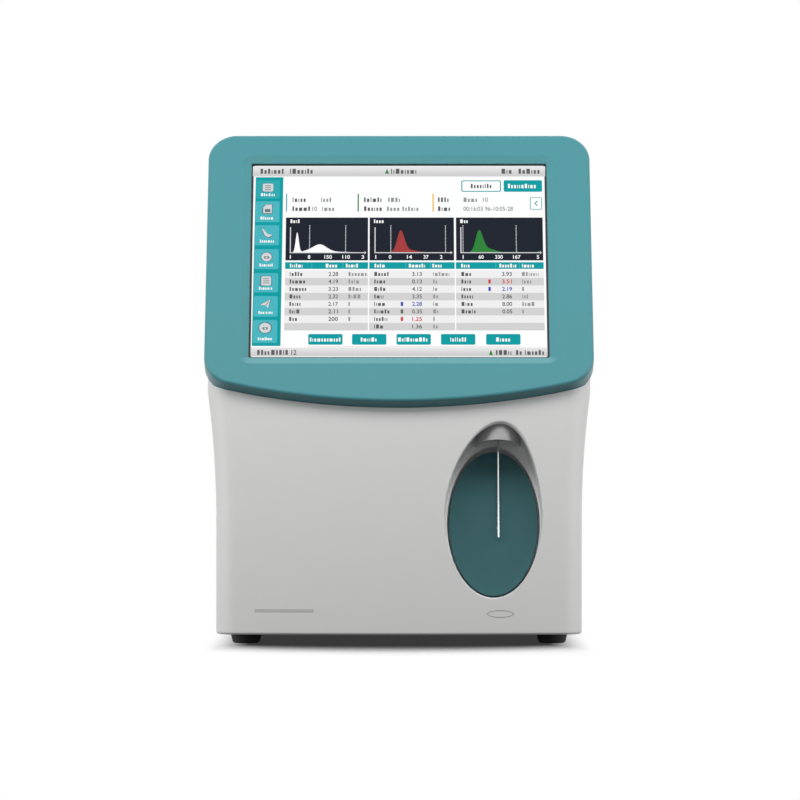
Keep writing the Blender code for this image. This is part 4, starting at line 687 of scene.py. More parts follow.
@dataclass
class Housing:
    """The white body: covers and a door cut from one bowed and flared skin."""

    wall: float = 0.003
    base_z: float = 0.008
    top_z: float = 0.417
    low_width: float = 0.302
    high_width: float = 0.316
    flare_start: float = 0.102
    flare_end: float = 0.207
    front_corner: float = 0.020
    top_corner: float = 0.025
    foot_round: float = 0.0022
    front_y: float = -0.186
    rear_y: float = 0.1825
    split_y: float = -0.150
    split_z: float = 0.205
    bow: float = 0.010466
    bezel_back: float = 0.0158
    floor_depth: float = 0.0075
    stem_bore: float = 0.0053
    stem_bore_length: float = 0.013
    needle_bore: float = 0.005
    needle_bore_length: float = 0.0364
    needle_bore_up: float = 0.0938
    bow_steps: int = 56
    bow_share: float = 0.83
    corner_steps: int = 14
    foot_rows: int = 6
    low_rows: int = 12
    flare_rows: int = 18
    high_rows: int = 10
    depth_columns: int = 10

    def face(self, x: float) -> float:
        """Y of the bowed front face at x."""
        return self.front_y + self.bow * (2 * x / self.high_width) ** 2

    def half(self, z: float) -> float:
        """Half the body's width at a height.

        Args:
            z: The height.

        Returns:
            Half the width, less the top's rounding.
        """
        share = min(max((z - self.flare_start) / (self.flare_end - self.flare_start), 0), 1)
        half = (self.low_width + (self.high_width - self.low_width) * share**2) / 2
        over = max(z - (self.top_z - self.top_corner), 0)
        return half - self.top_corner + math.sqrt(max(self.top_corner**2 - over**2, 0))

    def tuck(self, z: float) -> float:
        """How far the skin is drawn in at a height by the rounding of its lower edge."""
        below = max(self.base_z + self.foot_round - z, 0)
        return self.foot_round - math.sqrt(max(self.foot_round**2 - below**2, 0))

    def heights(self) -> list[float]:
        """Levels of the skin's rows, from the base to the top."""
        flare = self.flare_end - self.flare_start
        start = self.base_z + self.foot_round
        side = self.flare_start - start
        centre = self.top_z - self.top_corner
        upper = centre - self.flare_end
        quarter, corner = math.pi / 2, self.corner_steps
        foot, low, high = self.foot_rows, self.low_rows, self.high_rows
        rows = [start - self.foot_round * math.cos(quarter * row / foot) for row in range(foot)]
        rows += [start + side * row / low for row in range(low)]
        rows += [
            self.flare_start + flare * row / self.flare_rows for row in range(self.flare_rows + 1)
        ]
        rows += [self.flare_end + upper * row / high for row in range(1, high)]
        rows += [
            centre + self.top_corner * math.sin(quarter * row / corner) for row in range(corner + 1)
        ]
        return rows

    def section(self, z: float) -> list[Point]:
        """The body's plan at a height, from the rear left round to the rear right.

        Args:
            z: The height.

        Returns:
            The points as (x, y).
        """
        tuck = self.tuck(z)
        half = self.half(z) - tuck
        corner = self.front_corner - tuck
        shares = [2 * step / self.bow_steps - 1 for step in range(self.bow_steps + 1)]
        shares = [s for s in shares if abs(s) < self.bow_share]
        inside = [(half * s, self.face(half * s) + tuck, 0.0) for s in shares]
        ends = [(side * half, self.face(half) + tuck, corner) for side in (-1, 1)]
        depth, count = self.rear_y - self.split_y, self.depth_columns
        along = [self.rear_y - depth * step / count for step in range(count + 1)]
        left = [(-half, y, 0.0) for y in along]
        right = [(half, y, 0.0) for y in reversed(along)]
        return rounded([*left, ends[0], *inside, ends[1], *right], self.corner_steps)

    def skin(self) -> Mesh:
        """The whole body's outer skin as an open sheet, bent from a grid and closed on top."""
        rows = self.heights()
        sections = [self.section(z) for z in rows]
        bm = bent_grid(len(sections[0]), len(rows), lambda c, r: (*sections[r][c], rows[r]))
        rim = [e for e in bm.edges if min(v.co.z for v in e.verts) > self.top_z - MERGE]
        tips = {v for e in rim for v in e.verts if v.co.y > self.rear_y - MERGE}
        rim.append(bm.edges.new(sorted(tips, key=lambda v: v.co.x)))
        crown = bmesh.ops.edgeloop_fill(bm, edges=rim)["faces"][0]
        bmesh.ops.recalc_face_normals(bm, faces=bm.faces)
        if crown.normal.z < 0:
            bmesh.ops.reverse_faces(bm, faces=bm.faces)
        return bm

    def shell(self, name: str, *planes: tuple[Place, Place]) -> Piece:
        """A part of the skin, cut by planes and then given its wall.

        Args:
            name: The piece's name.
            *planes: Each cut as (a point, the direction that is cleared).

        Returns:
            The walled piece.
        """
        bm = self.skin()
        for at, clear in planes:
            cut_away(bm, at, clear)
        obj = link(name, bm)
        thicken(obj, self.wall)
        return obj

    def behind(self) -> tuple[Place, Place]:
        """The cut that leaves what is behind the front cover."""
        return (0, self.split_y + GAP, 0), (0, -1, 0)

    def beneath(self) -> tuple[Place, Place]:
        """The cut that leaves what is beneath the top cover."""
        return (0, 0, self.split_z - GAP), (0, 0, 1)

    def front(self) -> None:
        """The front cover, with its scooped recess and the display's seat."""
        cover = self.shell("front_cover_skin", ((0, self.split_y, 0), (0, 1, 0)))
        boolean(cover, Bezel().plug(GAP))
        recess = Recess()
        boolean(cover, recess.cup(self), "UNION")
        boolean(cover, recess.bowl(self))
        floor = PROBE.place(0, self.floor_depth + self.wall / 2, 0)
        roof = PROBE.place(*NEEDLE, self.needle_bore_up)
        for radius, length, at, way in (
            (self.stem_bore, self.stem_bore_length, floor, PROBE.along(0, 1, 0)),
            (self.needle_bore, self.needle_bore_length, roof, PROBE.along(0, 0, 1)),
        ):
            boolean(cover, round_bar(radius, length, at, way))
        soften(cover)
        present(cover, WHITE_ABS, Body.ROOT, "front_cover")

    def top(self) -> None:
        """The top cover, cut away where the display leans through it."""
        cut = DISPLAY.place(0, self.bezel_back, 0)
        ahead = DISPLAY.place(0, self.bezel_back - 1, 0) - cut
        above = ((0, 0, self.split_z), (0, 0, -1))
        cover = self.shell("top_cover_skin", self.behind(), above, (cut, ahead))
        soften(cover)
        present(cover, WHITE_ABS, Body.ROOT, "top_cover")

    def left(self) -> None:
        """The left side cover."""
        planes = self.behind(), self.beneath(), ((0, 0, 0), (1, 0, 0))
        cover = self.shell("left_cover_skin", *planes)
        soften(cover)
        present(cover, WHITE_ABS, Body.ROOT, "left_side_cover")

    def build(self) -> None:
        """Builds the covers."""
        self.front()
        self.top()
        self.left()


@dataclass
class Recess:
    """The scooped recess round the key: a rounded lip, a bowl, and a slot that the key fits."""

    x: float = 0.0774
    z: float = 0.10985
    half_width: float = 0.0411
    half_height: float = 0.07475
    low_half_height: float = 0.0724
    top_shift: float = 0.0063
    top_narrowing_share: float = 0.12
    key_half_width: float = 0.0368
    key_half_height: float = 0.06035
    slot: float = 0.0015
    top_slot: float = 0.0028
    proud: float = 0.0006
    lip_share: float = 0.5
    lip_width: float = 0.0034
    lip_depth: float = 0.0035
    lip_depth_share: float = 0.45
    squareness: float = 3.2
    turns: tuple[float, ...] = (8, 18, 30, 42, 54, 66, 78, 90)
    columns: int = 181

    def angle(self, column: int) -> float:
        """Where a column stands round the recess."""
        return 2 * math.pi * column / (self.columns - 1)

    def outline(self, angle: float, grow: float = 0) -> Point:
        """A point of the recess's outer edge, which narrows and leans to the right upward.

        Args:
            angle: Where round the recess, from the right and upward.
            grow: How far it is grown.

        Returns:
            The point as (x, z).
        """
        up = max(math.sin(angle), 0)
        across = (self.half_width + grow) * math.cos(angle) * (1 - self.top_narrowing_share * up)
        high = (self.half_height if math.sin(angle) > 0 else self.low_half_height) + grow
        return self.x + across + self.top_shift * up**2, self.z + high * math.sin(angle)

    def slot_edge(self, angle: float) -> Point:
        """A point of the slot's edge, just outside the key.

        Args:
            angle: Where round the recess.

        Returns:
            The point as (x, z).
        """
        up = max(math.sin(angle), 0)
        across = (self.key_half_width + self.slot) * math.cos(angle)
        high = self.key_half_height + self.slot + self.top_slot * up**2
        rise = high * math.sin(angle) * math.cos(PROBE.tilt)
        return PROBE.at[0] + across, PROBE.at[2] + rise

    def key_plane(self, depth: float, z: float) -> float:
        """Y at a height of the plane that lies behind the key's face by a depth."""
        up = (z - PROBE.at[2] + depth * math.sin(PROBE.tilt)) / math.cos(PROBE.tilt)
        return PROBE.at[1] + depth * math.cos(PROBE.tilt) + up * math.sin(PROBE.tilt)

    def stations(self) -> list[tuple[float, float, float, float]]:
        """Rows of the bowl, as shares of its lip's width and depth and of the rest's."""
        turns = [math.radians(turn) for turn in self.turns]
        power = 2 / self.squareness
        lip = [(math.sin(t), 1 - math.cos(t), 0.0, 0.0) for t in turns]
        rest = [(1.0, 1.0, 1 - max(math.cos(t), 0) ** power, math.sin(t) ** power) for t in turns]
        return lip + rest

    def bowl(self, housing: Housing) -> Mesh:
        """What the recess takes from the front cover.

        Args:
            housing: The body that it is in.

        Returns:
            A closed bmesh.
        """
        rows = self.stations()

        def at(column: int, row: int) -> Place:
            """A point of the bowl, from a row before the front to one at the floor."""
            angle = self.angle(column)
            outer, inner = Vector(self.outline(angle)), Vector(self.slot_edge(angle))
            lip_in, lip_down, bowl_in, bowl_down = rows[min(max(row - 1, 0), len(rows) - 1)]
            lip = min(self.lip_share, self.lip_width / (inner - outer).length)
            x, z = outer.lerp(inner, lip * lip_in + (1 - lip) * bowl_in)
            if row == 0:
                return x, housing.front_y - housing.wall, z
            if row > len(rows):
                return x, self.key_plane(housing.floor_depth, z), z
            whole = self.key_plane(-self.proud, inner.y) - housing.face(inner.x)
            first = min(self.lip_depth / whole, self.lip_depth_share)
            share = first * lip_down + (1 - first) * bowl_down
            y = housing.face(x) * (1 - share) + self.key_plane(-self.proud, z) * share
            return x, y, z

        bm = bent_grid(self.columns, len(rows) + 2, at)
        close_ends(bm)
        return bm

    def cup(self, housing: Housing) -> Mesh:
        """The wall behind the recess.

        Args:
            housing: The body that it is in.

        Returns:
            A closed bmesh.
        """
        wall = housing.wall

        def at(column: int, row: int) -> Place:
            """A point of the wall's front or rear edge."""
            x, z = self.outline(self.angle(column), wall)
            rear = self.key_plane(housing.floor_depth + wall, z)
            return x, rear if row else housing.face(x) + wall / 2, z

        bm = bent_grid(self.columns, 2, at)
        close_ends(bm)
        return bm


@dataclass
class Door:
    """The service door with its hinge arms and knuckles."""

    hinge_x: float = 0.152
    hinge_y: float = 0.1858
    hinge_heights: Point = (0.045, 0.165)
    knuckle_radius: float = 0.003
    knuckle_length: float = 0.012
    bore: float = 0.0019
    arm_reach: float = 0.014
    arm_thick: float = 0.0018
    latch_y: float = -0.105
    latch_z: float = 0.110
    latch_radius: float = 0.0103
    lift: float = 0.002

    def build(self, housing: Housing) -> None:
        """Builds the door from the housing's skin.

        Args:
            housing: The body that it closes.
        """
        above = ((0, 0, housing.base_z + self.lift), (0, 0, -1))
        planes = housing.behind(), housing.beneath(), above, ((0, 0, 0), (-1, 0, 0))
        door = housing.shell("service_door_skin", *planes)
        for height in self.hinge_heights:
            low, high = height + GAP / 2, height + GAP / 2 + self.knuckle_length
            arm_x = housing.half(height + self.knuckle_length) - housing.wall
            start = (arm_x, self.hinge_y - self.arm_reach, low)
            boolean(door, box_of(start, (arm_x + self.arm_thick, self.hinge_y, high)), "UNION")
            middle = (self.hinge_x, self.hinge_y, (low + high) / 2)
            boolean(door, round_bar(self.knuckle_radius, self.knuckle_length, middle), "UNION")
            boolean(door, round_bar(self.bore, 2 * self.knuckle_length, middle))
        at = (housing.half(self.latch_z), self.latch_y, self.latch_z)
        boolean(door, round_bar(self.latch_radius, 4 * housing.wall, at, (1, 0, 0), 64))
        soften(door)
        present(door, WHITE_ABS, Body.DOOR, "service_door")


@dataclass
class Bezel:
    """The teal display housing with its rounded edge and bevelled window."""

    width: float = 0.321
    length: float = 0.2578
    thick: float = 0.0155
    wall: float = 0.003
    bow: float = 0.0216
    drop: float = 0.0014
    top_corner: float = 0.024
    low_corner: float = 0.026
    corner_reach: float = 1.25
    rounding: float = 0.0025
    screen_width: float = 0.246
    screen_height: float = 0.1874
    screen_rise: float = 0.0417
    margin: float = 0.001
    window_corner: float = 0.0012
    chamfer_width: float = 0.0068
    chamfer_depth: float = 0.0022
    chamfer_angle: float = 14
    spare: float = 0.003
    plug_reach: float = 0.195
    bow_steps: int = 64

    def outline(self, grow: float = 0) -> list[Point]:
        """The housing's outline: straight top and sides, and a bowed lower edge.

        Args:
            grow: How far it is grown.

        Returns:
            The points as (across, up).
        """
        half = self.width / 2
        bow = [2 * step / self.bow_steps - 1 for step in range(self.bow_steps + 1)]
        corner = self.low_corner + grow
        low = [(s * (half + grow), self.bow * s**2 - grow - self.drop, 0.0) for s in bow]
        reach = half + grow - self.corner_reach * corner
        low = [low[0], *[p for p in low[1:-1] if abs(p[0]) < reach], low[-1]]
        low[0] = (*low[0][:2], corner)
        low[-1] = (*low[-1][:2], corner)
        top = self.length + grow
        corner = self.top_corner + grow
        return rounded([*low, (half + grow, top, corner), (-half - grow, top, corner)], 16)

    def plug(self, grow: float) -> Mesh:
        """What the display takes from the covers in front of its rear face."""
        reach = self.thick + GAP
        return extruded(self.outline(grow), -self.plug_reach, reach, DISPLAY.matrix())

    def window(self, grow: float) -> list[Point]:
        """The window's outline, grown by an amount.

        Args:
            grow: How far it is grown.

        Returns:
            The points as (across, up).
        """
        x = self.screen_width / 2 + self.margin + grow
        z0 = self.screen_rise - self.margin - grow
        z1 = self.screen_rise + self.screen_height + self.margin + grow
        return rectangle(-x, z0, x, z1, self.window_corner + grow, 8)

    def mouth(self) -> Mesh:
        """What the bevelled window takes from the housing."""
        bm = bmesh.new()
        slope = self.chamfer_width / self.chamfer_depth
        loops = []
        for y, grow in (
            (-self.spare, self.chamfer_width + slope * self.spare),
            (self.chamfer_depth, 0),
            (self.wall + self.spare, 0),
        ):
            ring = [bm.verts.new((x, y, z)) for x, z in self.window(grow)]
            loops.append([bm.edges.new(pair) for pair in zip(ring, ring[1:] + ring[:1])])
        for lower, upper in zip(loops, loops[1:]):
            bmesh.ops.bridge_loops(bm, edges=lower + upper)
        bmesh.ops.holes_fill(bm, edges=loops[0] + loops[-1], sides=0)
        bmesh.ops.transform(bm, matrix=DISPLAY.matrix(), verts=bm.verts)
        return bm

    def build(self) -> None:
        """Builds the housing."""
        bm = extruded(self.outline(), 0, self.thick)
        round_front(bm, self.rounding, 8)
        bmesh.ops.transform(bm, matrix=DISPLAY.matrix(), verts=bm.verts)
        bezel = link("bezel_moulding", bm)
        inside = self.outline(-self.wall)
        boolean(bezel, extruded(inside, self.wall, 2 * self.thick, DISPLAY.matrix()))
        boolean(bezel, self.mouth())
        soften(bezel, angle=self.chamfer_angle)
        present(bezel, TEAL_ABS, Body.ROOT, "screen_bezel")


class Ink(Enum):
    """Lit colours of the display's picture."""

    PAGE = ("page_white", "FFFFFF", "FDFEFE")
    TEAL = ("deep_teal", "029BA1", "039EA4")
    TILE = ("tile_teal", "49B5C0", "4BB7C1")
    FIRST_TILE = ("first_tile_teal", "2BA9B1", "2DABB2")
    NIGHT = ("chart_night", "1C212D", "1E232F")
    PALE_ROW = ("pale_row", "F0F0F0", "EEEEEE")
    GREY_ROW = ("grey_row", "D3D3D3", "D1D1D1")
    TEXT = ("dark_text", "5A5B5E", "5E5F62")
    SOFT_TEXT = ("soft_text", "949597", "98999B")
    RULE = ("axis_grey", "D6D8DB", "D2D4D8")
    RED = ("red_curve", "A83C3C", "A63E3E")
    GREEN = ("green_curve", "2D8237", "2F8439")
    RED_TEXT = ("red_value", "D43A36", "D23C38")
    BLUE_TEXT = ("blue_value", "3340B4", "3542B6")
    AMBER = ("amber_bar", "F0C86E", "EEC670")
    ICON = ("icon_silver", "D9DADB", "D3D4D6")
    ICON_EDGE = ("icon_edge", "5F7378", "63777C")


@dataclass
class Bell:
    """One bump of a curve: where it peaks, how high, and how far it falls off on each side."""

    peak: float
    height: float
    left: float
    right: float

    def at(self, u: float) -> float:
        """The bump's height at u."""
        width = self.left if u < self.peak else self.right
        return self.height * math.exp(-(((u - self.peak) / width) ** 2))


@dataclass
class Chart:
    """A dark chart: its panel, axis, cursors, tick numbers and filled curve, in millimetres."""

    left: float
    right: float
    axis: Point
    cursors: Point
    ticks: tuple[tuple[float, str], ...]
    ink: Ink
    bells: tuple[Bell, ...]
    title: Point


@dataclass
class Table:
    """A results table under a chart, in millimetres."""

    left: float
    right: float
    dividers: Point
    heads: tuple[Point, ...]
    names: tuple[float, tuple[float, ...]]
    values: Point
    units: tuple[float, tuple[float, ...]]
    rows: tuple[str, ...]
    marks: dict[int, Ink] = field(default_factory=dict)
    flags: tuple[int, ...] = ()
    flag_at: Point = (0, 0)


CHARTS = (
    Chart(
        left=-94.7,
        right=-25.9,
        axis=(-91.2, -28.8),
        cursors=(-74.7, -44.6),
        ticks=((-90.6, "1"), (-75.0, "8"), (-59.1, "150"), (-44.1, "110"), (-30.2, "3")),
        ink=Ink.PAGE,
        bells=(
            Bell(-85.1, 19.8, 1.7, 1.9),
            Bell(-66.0, 6.6, 8.0, 7.6),
            Bell(-76.0, 1.6, 6.0, 30.0),
        ),
        title=(-90.8, -82.0),
    ),
    Chart(
        left=-24.6,
        right=45.9,
        axis=(-20.5, 43.0),
        cursors=(-6.9, 38.8),
        ticks=((-19.4, "1"), (-7.5, "0"), (8.7, "14"), (22.5, "37"), (35.2, "2")),
        ink=Ink.RED,
        bells=(Bell(1.3, 20.6, 4.0, 4.4), Bell(9.0, 2.4, 10.0, 9.0)),
        title=(-21.0, -12.6),
    ),
    Chart(
        left=47.6,
        right=120.2,
        axis=(51.2, 117.6),
        cursors=(53.4, 97.9),
        ticks=((53.4, "1"), (68.4, "60"), (83.3, "330"), (98.2, "167"), (115.8, "5")),
        ink=Ink.GREEN,
        bells=(Bell(66.8, 20.6, 4.0, 4.6), Bell(75.0, 3.6, 9.0, 8.0), Bell(116.4, 1.6, 0.9, 0.9)),
        title=(51.2, 58.2),
    ),
)

TABLES = (
    Table(
        left=-94.9,
        right=-25.8,
        dividers=(-72.6, -46.7),
        heads=((-90.8, -79.4), (-61.0, -50.8), (-44.2, -33.2)),
        names=(-90.9, (11.8, 14.0, 13.8, 9.0, 9.2, 9.2, 7.8)),
        values=(-58.6, -50.6),
        units=(-42.0, (15.0, 10.2, 10.4, 10.0, 1.6, 1.6, 1.6)),
        rows=("2.28", "4.19", "3.23", "2.32", "2.17", "2.11", "200"),
    ),
    Table(
        left=-24.8,
        right=46.3,
        dividers=(5.6, 26.2),
        heads=((-20.4, -11.2), (8.2, 22.6), (27.8, 35.4)),
        names=(-20.6, (13.0, 9.0, 9.2, 9.4, 9.6, 12.6, 12.6, 8.4)),
        values=(10.9, 19.0),
        units=(28.3, (15.0, 4.4, 4.2, 4.0, 4.2, 4.2, 1.6, 3.6)),
        rows=("3.13", "0.13", "4.12", "3.35", "2.28", "0.35", "1.25", "1.36"),
        marks={4: Ink.BLUE_TEXT, 6: Ink.RED_TEXT},
        flags=(4, 5, 6),
        flag_at=(0.8, 4.0),
    ),
    Table(
        left=47.3,
        right=120.4,
        dividers=(80.6, 100.2),
        heads=((51.8, 59.4), (83.6, 97.8), (102.4, 112.2)),
        names=(51.8, (8.8, 9.2, 9.6, 9.6, 9.6, 11.6)),
        values=(85.6, 93.8),
        units=(102.2, (14.2, 7.6, 1.6, 4.8, 10.4, 2.4)),
        rows=("3.93", "3.51", "2.19", "2.86", "8.00", "0.05"),
        marks={1: Ink.RED_TEXT, 2: Ink.BLUE_TEXT},
        flags=(1, 2),
        flag_at=(73.6, 76.8),
    ),
)


@dataclass
class Display:
    """The touch display: glass and the picture behind it, laid out in millimetres.

    Across counts from the middle and down from the picture's top edge. A level is a layer of
    the picture, counted towards the viewer.
    """

    width: float = 246.0
    height: float = 188.3
    rise: float = 0.0417
    glass_front: float = 0.0045
    glass_thick: float = 0.0011
    glass_corner: float = 1.5
    glass_edge: float = 0.0002
    border: float = 4.5
    layer: float = 0.00003
    print_level: int = 4
    block_widths: tuple[float, ...] = (0.16, 0.3, 0.36, 0.42, 0.6)
    block_gap: float = 0.24
    tall_share: float = 0.25
    low_drop: float = 0.26
    digit_weight: float = 0.018
    digit_stretch: float = 1.15
    digit_half: float = 1.05
    page_edge: float = 0.7
    page_corner: float = 1.4
    chart_top: float = 51.9
    chart_foot: float = 94.1
    title_span: Point = (53.8, 57.4)
    tick_span: Point = (88.9, 92.5)
    axis_top: float = 61.5
    axis_width: float = 0.9
    base_line: float = 86.4
    dash_top: float = 59.6
    dash_pitch: float = 1.4
    dash: float = 0.9
    dash_half: float = 0.35
    dash_count: int = 19
    curve_steps: int = 120
    head_top: float = 95.8
    head_foot: float = 102.4
    head_span: Point = (97.4, 101.0)
    table_top: float = 103.9
    table_foot: float = 162.0
    row_count: int = 8
    row_margins: Point = (1.5, 1.8)
    divider_half: float = 0.25
    bar_corner: float = 1.2
    sheets: dict[Ink, Mesh] = field(default_factory=dict)
    dice: random.Random = field(default_factory=lambda: random.Random(12))

    def slab(self, outline: Sequence[Point], level: int) -> Mesh:
        """A thin flat shape of the picture at a level.

        Args:
            outline: Its points as (across, down).
            level: Its layer.

        Returns:
            A closed bmesh.
        """
        front = self.glass_front - level * self.layer
        points = [(u * MM, self.rise + (self.height - v) * MM) for u, v in outline]
        return extruded(points, front, front + self.layer / 2, DISPLAY.matrix(), merge=1e-7)

    def join(self, ink: Ink, slab: Mesh) -> None:
        """Adds a shape to the sheet of its ink.

        Args:
            ink: Its colour.
            slab: The shape, which is freed.
        """
        mesh = bpy.data.meshes.new("slab")
        slab.to_mesh(mesh)
        slab.free()
        self.sheets.setdefault(ink, bmesh.new()).from_mesh(mesh)
        bpy.data.meshes.remove(mesh)

    def lay(self, ink: Ink, outline: Sequence[Point], level: int) -> None:
        """Lays a flat shape on the picture."""
        self.join(ink, self.slab(outline, level))

    def box(
        self, ink: Ink, u0: float, v0: float, u1: float, v1: float, level: int, corner: float = 0
    ) -> None:
        """Lays a rectangle."""
        self.lay(ink, rectangle(u0, v0, u1, v1, corner), level)

    def words(self, ink: Ink, v0: float, v1: float, *spans: Point) -> None:
        """Stands for words with rows of plain blocks, some of them tall and some narrow.

        Args:
            ink: Their colour.
            v0: Their top.
            v1: Their foot.
            *spans: Where each word starts and ends.
        """
        high = v1 - v0
        for u0, u1 in spans:
            left = u0
            while left < u1 - 0.2 * high:
                wide = min(high * self.dice.choice(self.block_widths), u1 - left)
                tall = left == u0 or self.dice.random() < self.tall_share
                top = v0 if tall else v0 + self.low_drop * high
                corner = min(0.2 * wide, 0.3)
                self.box(ink, left, top, left + wide, v1, self.print_level, corner)
                left += wide + self.block_gap * high

    def number(self, ink: Ink, text: str, u0: float, v0: float, u1: float, v1: float) -> None:
        """Sets a plain number between two corners.

        Args:
            ink: Its colour.
            text: Its digits.
            u0: Its left side.
            v0: Its top.
            u1: Its right side.
            v1: Its foot.
        """
        curve = bpy.data.curves.new("digits", "FONT")
        curve.body = text
        curve.extrude = self.layer / 4
        curve.offset = self.digit_weight
        holder = bpy.data.objects.new("digits", curve)
        bpy.context.scene.collection.objects.link(holder)
        bpy.context.view_layer.update()
        graph = bpy.context.evaluated_depsgraph_get()
        mesh = bpy.data.meshes.new_from_object(holder.evaluated_get(graph))
        bpy.data.objects.remove(holder)
        bpy.data.curves.remove(curve)
        bm = bmesh.new()
        bm.from_mesh(mesh)
        bpy.data.meshes.remove(mesh)
        across, up = [v.co.x for v in bm.verts], [v.co.y for v in bm.verts]
        tall = (v1 - v0) * MM / (max(up) - min(up))
        most = self.digit_stretch * tall
        wide = min((u1 - u0) * MM / (max(across) - min(across)), most)
        front = self.glass_front - self.print_level * self.layer
        place = (
            DISPLAY.matrix()
            @ Matrix.Translation(((u0 + u1) / 2 * MM, front, self.rise + (self.height - v1) * MM))
            @ Matrix.Rotation(math.pi / 2, 4, "X")
            @ Matrix.Diagonal((wide, tall, 1, 1))
            @ Matrix.Translation((-(min(across) + max(across)) / 2, -min(up), 0))
        )
        bmesh.ops.transform(bm, matrix=place, verts=bm.verts)
        bmesh.ops.recalc_face_normals(bm, faces=bm.faces)
        self.join(ink, bm)

    def stroke(self, ink: Ink, start: Point, end: Point, wide: float, level: int) -> None:
        """Lays a straight line of a width.

        Args:
            ink: Its colour.
            start: One end.
            end: The other.
            wide: Its width.
            level: Its layer.
        """
        along = (Vector(end) - Vector(start)).normalized() * wide / 2
        side = Vector((-along.y, along.x))
        a, b = Vector(start) - along, Vector(end) + along
        self.lay(ink, [tuple(p) for p in (a + side, b + side, b - side, a - side)], level)

    def status_bars(self) -> None:
        """The words and green signs of the bars at the top and the bottom."""
        spans = (-116.6, -97.2), (-91.8, -71.6), (-6.7, 15.6), (86.3, 96.4), (100.6, 118.7)
        self.words(Ink.TEXT, 3.5, 8.5, *spans)
        self.words(Ink.TEXT, 180.7, 185.5, (-116.9, -107.0), (-105.4, -90.4))
        self.number(Ink.TEXT, "12", -88.8, 180.7, -84.6, 185.5)
        self.words(Ink.TEXT, 180.9, 185.5, (79.8, 94.6), (96.4, 102.0), (103.8, 119.4))
        for sign in (
            [(-11.8, 8.4), (-8.4, 8.4), (-9.4, 5.6), (-10.1, 3.2), (-10.8, 5.6)],
            [(74.1, 185.6), (77.4, 185.6), (76.5, 182.9), (75.8, 180.5), (75.0, 182.9)],
        ):
            self.lay(Ink.GREEN, sign, 4)

    def icon(self, kind: int, u: float, v: float) -> None:
        """A small silver picture on a tile.

        Args:
            kind: Which of the seven.
            u: Its middle across.
            v: Its middle down.
        """
        turns = [t * math.pi / 12 for t in range(24)]
        folder = [(-3.6, 4.2), (-3.6, -1.2), (-1.2, -4.2), (3.6, -4.2), (3.6, 4.2)]
        bend = [(-4.6, -4.4), (-3.0, -3.6), (0.4, 1.2), (4.6, 2.0), (1.2, 4.4), (-1.8, 2.6)]
        dart = [(3.8, -4.2), (2.0, 4.2), (0.2, 1.4), (-4.6, 1.0)]
        shape = (
            rectangle(u - 4.4, v - 4.2, u + 4.4, v + 3.6, 1.2),
            [(u + a, v + b) for a, b in folder],
            [(u + a, v + b) for a, b in bend],
            [(u + 4.2 * math.cos(t), v + 4.2 * math.sin(t)) for t in turns],
            rectangle(u - 4.0, v - 4.4, u + 4.0, v + 4.4, 0.9),
            [(u + a, v + b) for a, b in dart],
            [(u + 4.8 * math.cos(t), v + 4.8 * math.sin(t)) for t in turns],
        )[kind]
        middle = Vector((u, v))
        grown = [tuple(middle + (Vector(p) - middle) * 1.22) for p in shape]
        self.lay(Ink.ICON_EDGE, grown, 3)
        self.lay(Ink.ICON, shape, 4)
        if kind in (0, 4):
            for top in (v - 2.4 + 2.0 * step for step in range(3)):
                self.box(Ink.ICON_EDGE, u - 2.6, top, u + 2.6, top + 0.7, 5)
        if kind == 1:
            self.box(Ink.ICON_EDGE, u - 2.2, v + 0.2, u + 2.4, v + 3.2, 5)
        if kind in (3, 6):
            self.box(Ink.ICON_EDGE, u - 2.2, v - 0.6, u + 2.2, v + 1.6, 5, 0.8)
            self.box(Ink.ICON, u - 0.9, v - 0.1, u + 0.9, v + 1.0, 6, 0.4)
        if kind == 5:
            self.stroke(Ink.ICON_EDGE, (u + 0.4, v + 0.9), (u + 2.6, v - 2.2), 0.6, 5)

    def sidebar(self) -> None:
        """The column of seven tiles at the left, which leans a little."""
        column = [(-120.5, 11.9), (-97.3, 11.9), (-97.8, 176.9), (-121.5, 176.9)]
        self.lay(Ink.TEAL, column, 2)
        tops = (14.9, 35.8, 59.5, 83.1, 106.5, 128.8, 151.9)
        feet = (33.3, 56.5, 79.2, 102.6, 125.2, 148.7, 174.0)
        for kind, (top, foot) in enumerate(zip(tops, feet)):
            shift = -0.8 * (top + foot) / 2 / self.height
            left, right = -120.0 + shift, -100.0 + shift
            self.box(Ink.TILE if kind else Ink.FIRST_TILE, left, top, right, foot, 3, 1.4)
            middle = (left + right) / 2
            self.icon(kind, middle, top + 7.6)
            self.words(Ink.PAGE, foot - 5.4, foot - 2.6, (middle - 5.8, middle + 5.8))

